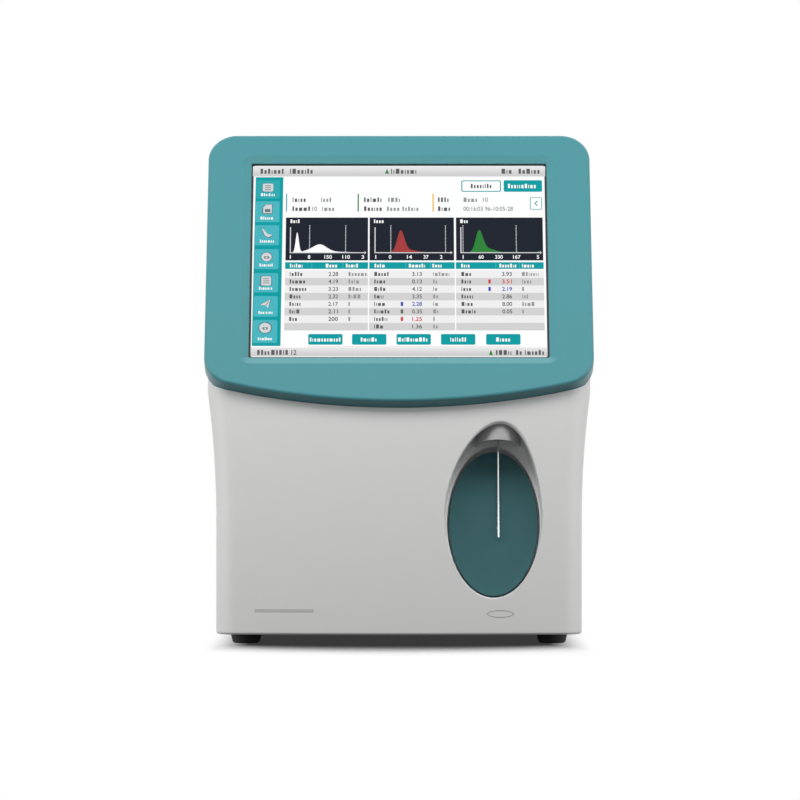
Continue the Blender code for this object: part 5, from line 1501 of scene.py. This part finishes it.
    def patient(self) -> None:
        """The rows of labels and values under the status bar, and the buttons beside them."""
        self.box(Ink.TEAL, -94.8, 28.4, -93.9, 46.0, 2)
        self.box(Ink.GREEN, -34.8, 28.4, -33.7, 46.0, 2)
        self.box(Ink.AMBER, 27.9, 28.4, 29.3, 46.0, 2)
        self.words(Ink.TEXT, 32.0, 36.6, (-89.3, -77.2), (-29.4, -14.7), (32.7, 41.5))
        self.words(Ink.TEXT, 40.9, 45.5, (-89.4, -74.6), (-29.3, -14.2), (32.7, 42.7))
        self.words(Ink.SOFT_TEXT, 32.2, 36.6, (-65.4, -55.4), (-9.2, 0.8), (54.1, 66.9))
        self.words(Ink.SOFT_TEXT, 41.1, 45.5, (-64.5, -54.5), (-10.1, 1.3), (2.8, 18.0))
        self.number(Ink.SOFT_TEXT, "10", -72.9, 41.1, -68.7, 45.5)
        self.number(Ink.SOFT_TEXT, "10", 70.4, 32.2, 74.7, 36.4)
        self.number(Ink.SOFT_TEXT, "00:16:03 96-10:05-28", 53.9, 41.1, 95.5, 45.5)
        self.box(Ink.TEAL, 52.3, 15.1, 85.7, 26.4, 2, 1.4)
        self.box(Ink.PAGE, 53.2, 16.0, 84.8, 25.5, 3, 0.9)
        self.words(Ink.TEXT, 18.5, 22.9, (60.3, 78.4))
        self.box(Ink.TEAL, 87.9, 14.9, 120.2, 26.4, 2, 1.4)
        self.words(Ink.PAGE, 18.5, 22.9, (91.6, 116.6))
        self.box(Ink.TEAL, 109.8, 31.8, 119.9, 44.2, 2, 1.4)
        self.box(Ink.PAGE, 110.4, 32.4, 119.3, 43.6, 3, 1.0)
        self.stroke(Ink.TEAL, (115.8, 35.9), (114.0, 38.0), 0.9, 4)
        self.stroke(Ink.TEAL, (114.0, 38.0), (115.8, 40.1), 0.9, 4)

    def chart(self, chart: Chart) -> None:
        """A dark chart with its filled curve.

        Args:
            chart: What it shows.
        """
        base = self.base_line
        self.box(Ink.NIGHT, chart.left, self.chart_top, chart.right, self.chart_foot, 2)
        start, end = chart.axis
        self.box(Ink.RULE, start, self.axis_top, start + self.axis_width, base, 3)
        self.box(Ink.RULE, start, base - 0.3, end, base + 0.6, 5)
        self.lay(Ink.RULE, [(end, 85.0), (end + 1.6, 86.5), (end, 88.0)], 5)
        for cursor in chart.cursors:
            for top in (self.dash_top + self.dash_pitch * step for step in range(self.dash_count)):
                left, right = cursor - self.dash_half, cursor + self.dash_half
                self.box(Ink.RULE, left, top, right, top + self.dash, 3)
        for at, text in chart.ticks:
            half = self.digit_half * len(text)
            top, foot = self.tick_span
            self.number(Ink.PAGE, text, at - half, top, at + half, foot)
        steps = self.curve_steps
        run = [start + 1 + (end - start - 1) * step / steps for step in range(steps + 1)]
        tops = [(u, base - sum(bell.at(u) for bell in chart.bells)) for u in run]
        self.lay(chart.ink, [(run[0], base + 0.1), *tops, (run[-1], base + 0.1)], 4)
        self.words(Ink.PAGE, *self.title_span, chart.title)

    def table(self, table: Table) -> None:
        """A results table with its head.

        Args:
            table: What it shows.
        """
        self.box(Ink.TEAL, table.left, self.head_top, table.right, self.head_foot, 2)
        for divider in table.dividers:
            left, right = divider - self.divider_half, divider + self.divider_half
            self.box(Ink.TILE, left, self.head_top, right, self.head_foot, 3)
        self.words(Ink.PAGE, *self.head_span, *table.heads)
        pitch = (self.table_foot - self.table_top) / self.row_count
        name_at, name_widths = table.names
        unit_at, unit_widths = table.units
        for row in range(self.row_count):
            top = self.table_top + pitch * row
            stripe = Ink.GREY_ROW if row % 2 else Ink.PALE_ROW
            self.box(stripe, table.left, top, table.right, top + pitch, 2)
            if row >= len(table.rows):
                continue
            low, high = top + self.row_margins[0], top + pitch - self.row_margins[1]
            ink = table.marks.get(row, Ink.TEXT)
            self.words(Ink.TEXT, low, high, (name_at, name_at + name_widths[row]))
            self.number(ink, table.rows[row], table.values[0], low, table.values[1], high)
            self.words(Ink.SOFT_TEXT, low, high, (unit_at, unit_at + unit_widths[row]))
            if row in table.flags:
                u0, u1 = table.flag_at
                self.box(ink, u0 + 0.6, low, u1 - 0.6, high, 4)

    def buttons(self) -> None:
        """The row of teal buttons and the thin line under it."""
        words = ((-73.6, -48.4), (-31.6, -18.6), (-0.8, 24.7), (42.4, 55.3), (80.2, 92.1))
        for left, word in zip((-75.0, -38.8, -2.1, 34.6, 71.9), words):
            self.box(Ink.TEAL, left, 165.4, left + 28.4, 175.7, 2, 1.3)
            self.words(Ink.PAGE, 168.8, 172.7, word)
        self.box(Ink.GREY_ROW, -75.0, 177.4, 100.5, 177.9, 2)

    def glass(self) -> None:
        """The touch glass behind the picture."""
        half = self.width / 2 + self.border
        outline = rectangle(
            -half, -self.border, half, self.height - 0.9 + self.border, self.glass_corner, 6
        )
        points = [(u * MM, self.rise + v * MM) for u, v in outline]
        rear = self.glass_front + self.glass_thick
        plate = extruded(points, self.glass_front, rear, DISPLAY.matrix())
        glass = link("touch_glass_plate", plate)
        soften(glass, self.glass_edge)
        present(glass, GLASS, Body.ROOT, "touch_glass")

    def shaded_bars(self) -> None:
        """The two status bars, which darken downward."""
        for name, v0, v1, side in (
            ("top_status_bar", 1.0, 11.2, 123.4),
            ("bottom_status_bar", 178.3, 186.9, 122.4),
        ):
            levels = [self.rise + (self.height - v) * MM for v in (v0, v1)]
            fade = tuple(DISPLAY.place(0, 0, up).z for up in levels)
            bar = self.slab(rectangle(-side, v0, side, v1, self.bar_corner, 6), 2)
            present(link(name, bar), lit(name, "F4F4F4", "D0D0D0", fade))

    def build(self) -> None:
        """Builds the display."""
        self.glass()
        self.shaded_bars()
        half = self.width / 2 - self.page_edge
        self.box(Ink.PAGE, -half, 0.6, half, self.height - 0.8, 1, self.page_corner)
        self.status_bars()
        self.sidebar()
        self.patient()
        for chart in CHARTS:
            self.chart(chart)
        for table in TABLES:
            self.table(table)
        self.buttons()
        for ink, bm in self.sheets.items():
            present(link(f"picture_{ink.value[0]}", bm), lit(*ink.value))


@dataclass
class Key:
    """The oval aspirate key on its stem."""

    width: float = 0.0736
    height: float = 0.1207
    thick: float = 0.004
    rounding: float = 0.0008
    stem_radius: float = 0.005
    stem_length: float = 0.0188
    stem_middle: float = 0.0128
    sides: int = 128

    def build(self) -> None:
        """Builds the key."""
        turns = [2 * math.pi * step / self.sides for step in range(self.sides)]
        oval = [(self.width / 2 * math.cos(t), self.height / 2 * math.sin(t)) for t in turns]
        bm = extruded(oval, 0, self.thick)
        round_front(bm, self.rounding, 4)
        bmesh.ops.transform(bm, matrix=PROBE.matrix(), verts=bm.verts)
        key = link("key_cap", bm)
        middle = PROBE.place(0, self.stem_middle, 0)
        stem = round_bar(self.stem_radius, self.stem_length, middle, PROBE.along(0, 1, 0))
        boolean(key, stem, "UNION")
        present(key, KEY_ABS, Body.KEY, "aspirate_key")


@dataclass
class Visor:
    """The hood over the probe, with a nearly upright front."""

    x: float = 0.0812
    deep: float = 0.0072
    rise: float = 0.0643
    half_width: float = 0.0195
    reach: float = 0.0402
    height: float = 0.0204
    wall: float = 0.0022
    lean_share: float = 0.16
    squareness: float = 8.0
    plan_squareness: float = 2.2
    bore: float = 0.0022
    bore_length: float = 0.0182
    bore_up: float = 0.0847
    edge: float = 0.0003

    def build(self) -> None:
        """Builds the visor from a quarter of a ball, drawn to its hood's shape."""
        bm = bmesh.new()
        bmesh.ops.create_uvsphere(bm, u_segments=128, v_segments=64, radius=1)
        cut_away(bm, (0, 0, 0), (0, 0, -1))
        cut_away(bm, (0, 0, 0), (0, 1, 0))
        power, plan_power = self.squareness, self.plan_squareness
        for vert in bm.verts:
            wide = math.sqrt(max(1 - vert.co.x**2, 1e-12))
            up = min(vert.co.z / wide, 1)
            plan = max(1 - abs(vert.co.x) ** plan_power, 0) ** (1 / plan_power)
            vert.co.y = -plan * max(1 - up**power, 0) ** (1 / power)
            vert.co.x += self.lean_share * vert.co.z
        bmesh.ops.scale(bm, vec=(self.half_width, self.reach, self.height), verts=bm.verts)
        seat = Matrix.Translation((self.x - PROBE.at[0], self.deep, self.rise))
        bmesh.ops.transform(bm, matrix=PROBE.matrix() @ seat, verts=bm.verts)
        visor = link("visor_moulding", bm)
        thicken(visor, self.wall)
        middle = PROBE.place(*NEEDLE, self.bore_up)
        boolean(visor, round_bar(self.bore, self.bore_length, middle, PROBE.along(0, 0, 1)))
        soften(visor, self.edge)
        present(visor, GREY_ABS, Body.ROOT, "probe_visor")


@dataclass
class Probe:
    """The sample probe: a straight steel tube under its hub."""

    top: float = 0.108
    tip: float = -0.0122
    radius: float = 0.0009
    hub_radius: float = 0.003
    hub_height: float = 0.006
    edge: float = 0.0003

    def build(self) -> None:
        """Builds the probe."""
        edge, r, hub = self.edge, self.radius, self.hub_radius
        crown = self.top + self.hub_height
        profile = [
            (0, self.tip),
            (r - edge, self.tip),
            (r, self.tip + edge),
            (r, self.top),
            (hub - edge, self.top),
            (hub, self.top + edge),
            (hub, crown - edge),
            (hub - edge, crown),
            (0, crown),
        ]
        bm = lathe(profile, Matrix.Translation((*NEEDLE, 0)), 32)
        bmesh.ops.transform(bm, matrix=PROBE.matrix(), verts=bm.verts)
        present(link("probe_tube", bm), BRIGHT_STEEL, Body.PROBE, "sample_probe")


@dataclass
class Feet:
    """Four moulded rubber feet with rounded soles."""

    x: float = 0.1265
    y: float = 0.150
    height: float = 0.0079
    top_radius: float = 0.0131
    sole_radius: float = 0.0116
    rounding: float = 0.0028
    sole_turn: float = 80
    sole_steps: int = 8
    tread_radius: float = 0.006
    tread_depth: float = 0.0008
    crown: float = 0.0003
    edge: float = 0.0004

    def profile(self) -> list[Point]:
        """A foot's half section, from the middle of its sole to the middle of its top."""
        centre, turn = self.sole_radius - self.rounding, math.radians(self.sole_turn)
        turns = [turn * step / self.sole_steps for step in range(self.sole_steps + 1)]
        rim, edge, top = self.top_radius, self.edge, self.height
        round_sole = self.rounding
        arc = [(centre + round_sole * math.sin(t), round_sole * (1 - math.cos(t))) for t in turns]
        return [
            (0, self.tread_depth),
            (self.tread_radius - self.tread_depth, self.tread_depth),
            (self.tread_radius, 0),
            *arc,
            (rim - edge, top - self.crown - edge),
            (rim, top - self.crown),
            (rim - edge, top),
            (0, top),
        ]

    def build(self) -> None:
        """Builds the feet."""
        for side, across in (("left", -1), ("right", 1)):
            for end, along in (("front", -1), ("rear", 1)):
                seat = Matrix.Translation((across * self.x, along * self.y, 0))
                foot = link(f"rubber_foot_{end}_{side}", lathe(self.profile(), seat, 64))
                present(foot, RUBBER, Body.ROOT, f"foot_{end}_{side}")


@dataclass
class Prints:
    """Plain marks printed on the front: a grey strip and an oval outline."""

    strip_x: float = -0.0945
    strip_z: float = 0.0280
    strip_width: float = 0.0485
    strip_height: float = 0.0024
    strip_steps: int = 24
    oval_x: float = 0.0834
    oval_z: float = 0.0253
    oval_half_width: float = 0.0107
    oval_half_height: float = 0.0027
    oval_steps: int = 64
    line: float = 0.0004
    lift: float = 0.00012

    def strip(self, housing: Housing) -> None:
        """The strip at the lower left.

        Args:
            housing: The body that it is printed on.
        """

        def at(column: int, row: int) -> Place:
            """A point of the strip's lower or upper edge."""
            x = self.strip_x + self.strip_width * (column / self.strip_steps - 0.5)
            return x, housing.face(x) - self.lift, self.strip_z + self.strip_height * (row - 0.5)

        self.finish("grey_strip_print", bent_grid(self.strip_steps + 1, 2, at), STRIP_INK)

    def oval(self, housing: Housing) -> None:
        """The oval below the key.

        Args:
            housing: The body that it is printed on.
        """

        def at(column: int, row: int) -> Place:
            """A point of the line's inner or outer edge."""
            turn = 2 * math.pi * column / self.oval_steps
            grow = self.line * (row - 0.5)
            x = self.oval_x + (self.oval_half_width + grow) * math.cos(turn)
            z = self.oval_z + (self.oval_half_height + grow) * math.sin(turn)
            return x, housing.face(x) - self.lift, z

        self.finish("oval_outline_print", bent_grid(self.oval_steps + 1, 2, at), OVAL_INK)

    def finish(self, name: str, bm: Mesh, ink: Finish) -> None:
        """Gives a print its thickness and its ink.

        Args:
            name: The piece's name.
            bm: Its sheet.
            ink: Its ink.
        """
        bmesh.ops.recalc_face_normals(bm, faces=bm.faces)
        bmesh.ops.solidify(bm, geom=list(bm.faces), thickness=self.lift / 2)
        outward(bm)
        present(link(name, bm), ink)

    def build(self, housing: Housing) -> None:
        """Builds the marks."""
        self.strip(housing)
        self.oval(housing)


@dataclass
class Fasteners:
    """Socket screws that hold the rear panel, the fan guard and the hinges' leaves."""

    radius: float = 0.0028
    height: float = 0.0015
    dome: float = 0.0005
    socket: float = 0.0013
    socket_depth: float = 0.0009
    panel_y: float = 0.1815
    panel_x: float = 0.1435
    panel_levels: tuple[float, ...] = (0.022, 0.108, 0.205, 0.300, 0.392)
    panel_middle: Point = (0.022, 0.404)
    guard_y: float = 0.1838
    guard_at: Point = (-0.085, 0.300)
    guard_reach: float = 0.0345
    leaf_y: float = 0.1843
    leaf_x: float = 0.1375
    leaf_levels: Point = (0.0388, 0.1588)

    def seats(self) -> list[tuple[float, float, float]]:
        """Where each head sits."""
        sides, (x, z), reach = (-1, 1), self.guard_at, self.guard_reach
        panel = self.panel_y
        seats = [(side * self.panel_x, panel, up) for side in sides for up in self.panel_levels]
        seats += [(0.0, panel, up) for up in self.panel_middle]
        seats += [(x + a * reach, self.guard_y, z + b * reach) for a in sides for b in sides]
        return seats + [(self.leaf_x, self.leaf_y, up) for up in self.leaf_levels]

    def build(self) -> None:
        """Builds the screws."""
        rim, top, dome = self.radius, self.height, self.dome
        turns = [math.radians(22.5 * step) for step in (1, 2, 3, 4)]
        arc = [(rim - dome * (1 - math.cos(t)), top - dome * (1 - math.sin(t))) for t in turns]
        profile = [(0, 0), (rim, 0), (rim, top - dome), *arc, (0, top)]
        lie = Matrix.Rotation(-math.pi / 2, 4, "X")
        for count, seat in enumerate(self.seats(), 1):
            head = lathe(profile, Matrix.Translation(seat) @ lie, 32)
            screw = link(f"rear_screw_{count}", head)
            mouth = (seat[0], seat[1] + top, seat[2])
            boolean(screw, round_bar(self.socket, 2 * self.socket_depth, mouth, (0, 1, 0), 6))
            present(screw, ZINC)


@dataclass
class Works:
    """The machine's inner and rear parts: its CAD solids with broken edges and real finishes."""

    edge: float = 0.0003
    edge_angle: float = 30
    flat_angle: float = 0.6

    def part(self, name: str, finish: Finish) -> None:
        """Stands a softened copy of a node in for it.

        Args:
            name: The CAD node.
            finish: The finish that both get.
        """
        node = frame["nodes"][name]
        bm = bmesh.new()
        bm.from_mesh(node.data)
        outward(bm)
        flat = math.radians(self.flat_angle)
        bmesh.ops.dissolve_limit(bm, angle_limit=flat, verts=bm.verts, edges=bm.edges)
        piece = link(f"{name}_part", bm)
        soften(piece, self.edge, self.edge_angle)
        present(piece, finish, node["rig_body"], name)

    def build(self, done: set[str]) -> None:
        """Dresses every node, and stands in for those without a piece of their own.

        Args:
            done: Nodes that a finer piece already stands for.
        """
        for finish, names in NODE_FINISHES.items():
            for name in names.split():
                node = frame["nodes"][name]
                node.data.materials.clear()
                node.data.materials.append(finish.make())
                if name not in done:
                    self.part(name, finish)


@dataclass(frozen=True)
class Lamp:
    """A soft rectangular lamp: its place, size, watts and what it is aimed at."""

    name: str
    at: tuple[float, float, float]
    size: Point
    power: float
    aim: tuple[float, float, float] = (0, 0, 0.2)
    glossy: bool = True

    def hang(self) -> None:
        """Puts the lamp in the scene."""
        data = bpy.data.lights.new(self.name, "AREA")
        data.shape = "RECTANGLE"
        data.size, data.size_y = self.size
        data.energy = self.power
        obj = bpy.data.objects.new(self.name, data)
        obj.location = self.at
        way = Vector(self.aim) - Vector(self.at)
        obj.rotation_euler = way.to_track_quat("-Z", "Y").to_euler()
        obj.visible_glossy = self.glossy
        bpy.context.scene.collection.objects.link(obj)


LAMPS = (
    Lamp("overhead_softbox", (0, 0, 2.2), (2.2, 0.9), 14),
    Lamp("near_softbox", (0, -0.55, 0.72), (1.5, 0.25), 5.3, (0, -0.19, 0.2), glossy=False),
    Lamp("rear_softbox", (0, 2.6, 1.0), (2.2, 1.4), 20),
    Lamp("left_softbox", (-2.2, -0.75, 0.8), (1.2, 1.6), 25),
    Lamp("right_softbox", (2.2, -0.75, 0.8), (1.2, 1.6), 22),
)


@dataclass
class Studio:
    """Floor, backdrop, lamps and camera."""

    camera_at: tuple[float, float, float] = (0.0008, -4.265, 0.201)
    lens: float = 223.7
    sensor: float = 36
    floor_size: float = 30
    floor_bounce: str = "5C5C5C"
    shadow_reach: float = 0.30
    shadow_open: Point = (0.3, 0.84)
    shadow_falloff: float = 4.6
    shadow_darkest: float = 0.04
    shadow_half: float = 0.118
    shadow_fade: float = 0.042
    fill: float = 0.22

    def seen(self, tree: bpy.types.NodeTree) -> bpy.types.NodeSocket:
        """One for what the camera sees, straight or by gloss or through something clear.

        Args:
            tree: The node tree.

        Returns:
            A socket that is one there and zero elsewhere.
        """
        rays = add(tree, "LightPath").outputs
        direct = {0: rays["Is Camera Ray"], 1: rays["Is Glossy Ray"]}
        seen = add(tree, "Math", direct, operation="MAXIMUM").outputs[0]
        both = {0: seen, 1: rays["Is Transmission Ray"]}
        return add(tree, "Math", both, operation="MAXIMUM").outputs[0]

    def floor(self) -> None:
        """A pale floor that the camera sees white, but for a painted soft shadow round the machine.
        """
        bm = bmesh.new()
        bmesh.ops.create_grid(bm, x_segments=2, y_segments=2, size=self.floor_size)
        floor = link("studio_floor", bm)
        material = bpy.data.materials.new("white_floor_with_painted_shadow")
        material.use_nodes = True
        tree = material.node_tree
        tree.nodes.clear()
        # Painted shadow: the floor's brightness to the camera falls with ambient occlusion near the
        # machine
        sky = add(tree, "AmbientOcclusion", {"Distance": self.shadow_reach}, samples=16)
        ends = {"From Min": self.shadow_open[0], "From Max": self.shadow_open[1]}
        span = add(tree, "MapRange", {"Value": sky.outputs["AO"], **ends})
        curve = add(tree, "Math", {0: span.outputs[0], 1: self.shadow_falloff}, operation="POWER")
        least = {0: curve.outputs[0], 1: self.shadow_darkest}
        lifted = add(tree, "Math", least, operation="MAXIMUM")
        # The painted shadow is cleared by a mask on X beyond a width across the machine
        across = add(tree, "SeparateXYZ", {0: add(tree, "TexCoord").outputs["Object"]}).outputs["X"]
        aside = add(tree, "Math", {0: across}, operation="ABSOLUTE").outputs[0]
        ends = {"From Min": self.shadow_half, "From Max": self.shadow_half + self.shadow_fade}
        clear = add(tree, "MapRange", {"Value": aside, **ends}, interpolation_type="SMOOTHSTEP")
        shade = add(tree, "Math", {0: lifted.outputs[0], 1: clear.outputs[0]}, operation="MAXIMUM")
        sheet = add(tree, "Emission", {"Color": linear("FFFFFF"), "Strength": shade.outputs[0]})
        plain = add(tree, "BsdfDiffuse", {"Color": linear(self.floor_bounce)})
        looks = {0: self.seen(tree), 1: plain.outputs[0], 2: sheet.outputs[0]}
        add(tree, "OutputMaterial", {"Surface": add(tree, "MixShader", looks).outputs[0]})
        floor.data.materials.append(material)

    def world(self) -> None:
        """A soft white surround that looks plain white to the camera and in reflections."""
        world = bpy.data.worlds.new("studio_surround")
        bpy.context.scene.world = world
        world.use_nodes = True
        tree = world.node_tree
        tree.nodes.clear()
        fill, white = (
            add(tree, "Background", {"Color": linear("FFFFFF"), "Strength": strength}).outputs[0]
            for strength in (self.fill, 1.0)
        )
        looks = {0: self.seen(tree), 1: fill, 2: white}
        add(tree, "OutputWorld", {"Surface": add(tree, "MixShader", looks).outputs[0]})

    def camera(self) -> None:
        """The camera, level with the screen's foot and straight ahead."""
        data = bpy.data.cameras.new("camera")
        data.lens = self.lens
        data.sensor_width = self.sensor
        obj = bpy.data.objects.new("camera", data)
        obj.location = self.camera_at
        obj.rotation_euler = (math.pi / 2, 0, 0)
        bpy.context.scene.collection.objects.link(obj)
        bpy.context.scene.camera = obj

    def build(self) -> None:
        """Builds the stage."""
        bpy.context.scene.view_settings.view_transform = "Standard"
        self.camera()
        self.floor()
        self.world()
        for lamp in LAMPS:
            lamp.hang()


def main() -> None:
    """Builds the scene piece by piece."""
    logging.basicConfig(level=logging.INFO, format="%(message)s")
    Studio().build()
    housing = Housing()
    housing.build()
    Door().build(housing)
    Bezel().build()
    Display().build()
    Key().build()
    Visor().build()
    Probe().build()
    Feet().build()
    Prints().build(housing)
    Fasteners().build()
    Works().build(REPLACED)


if __name__ == "__main__":
    main()
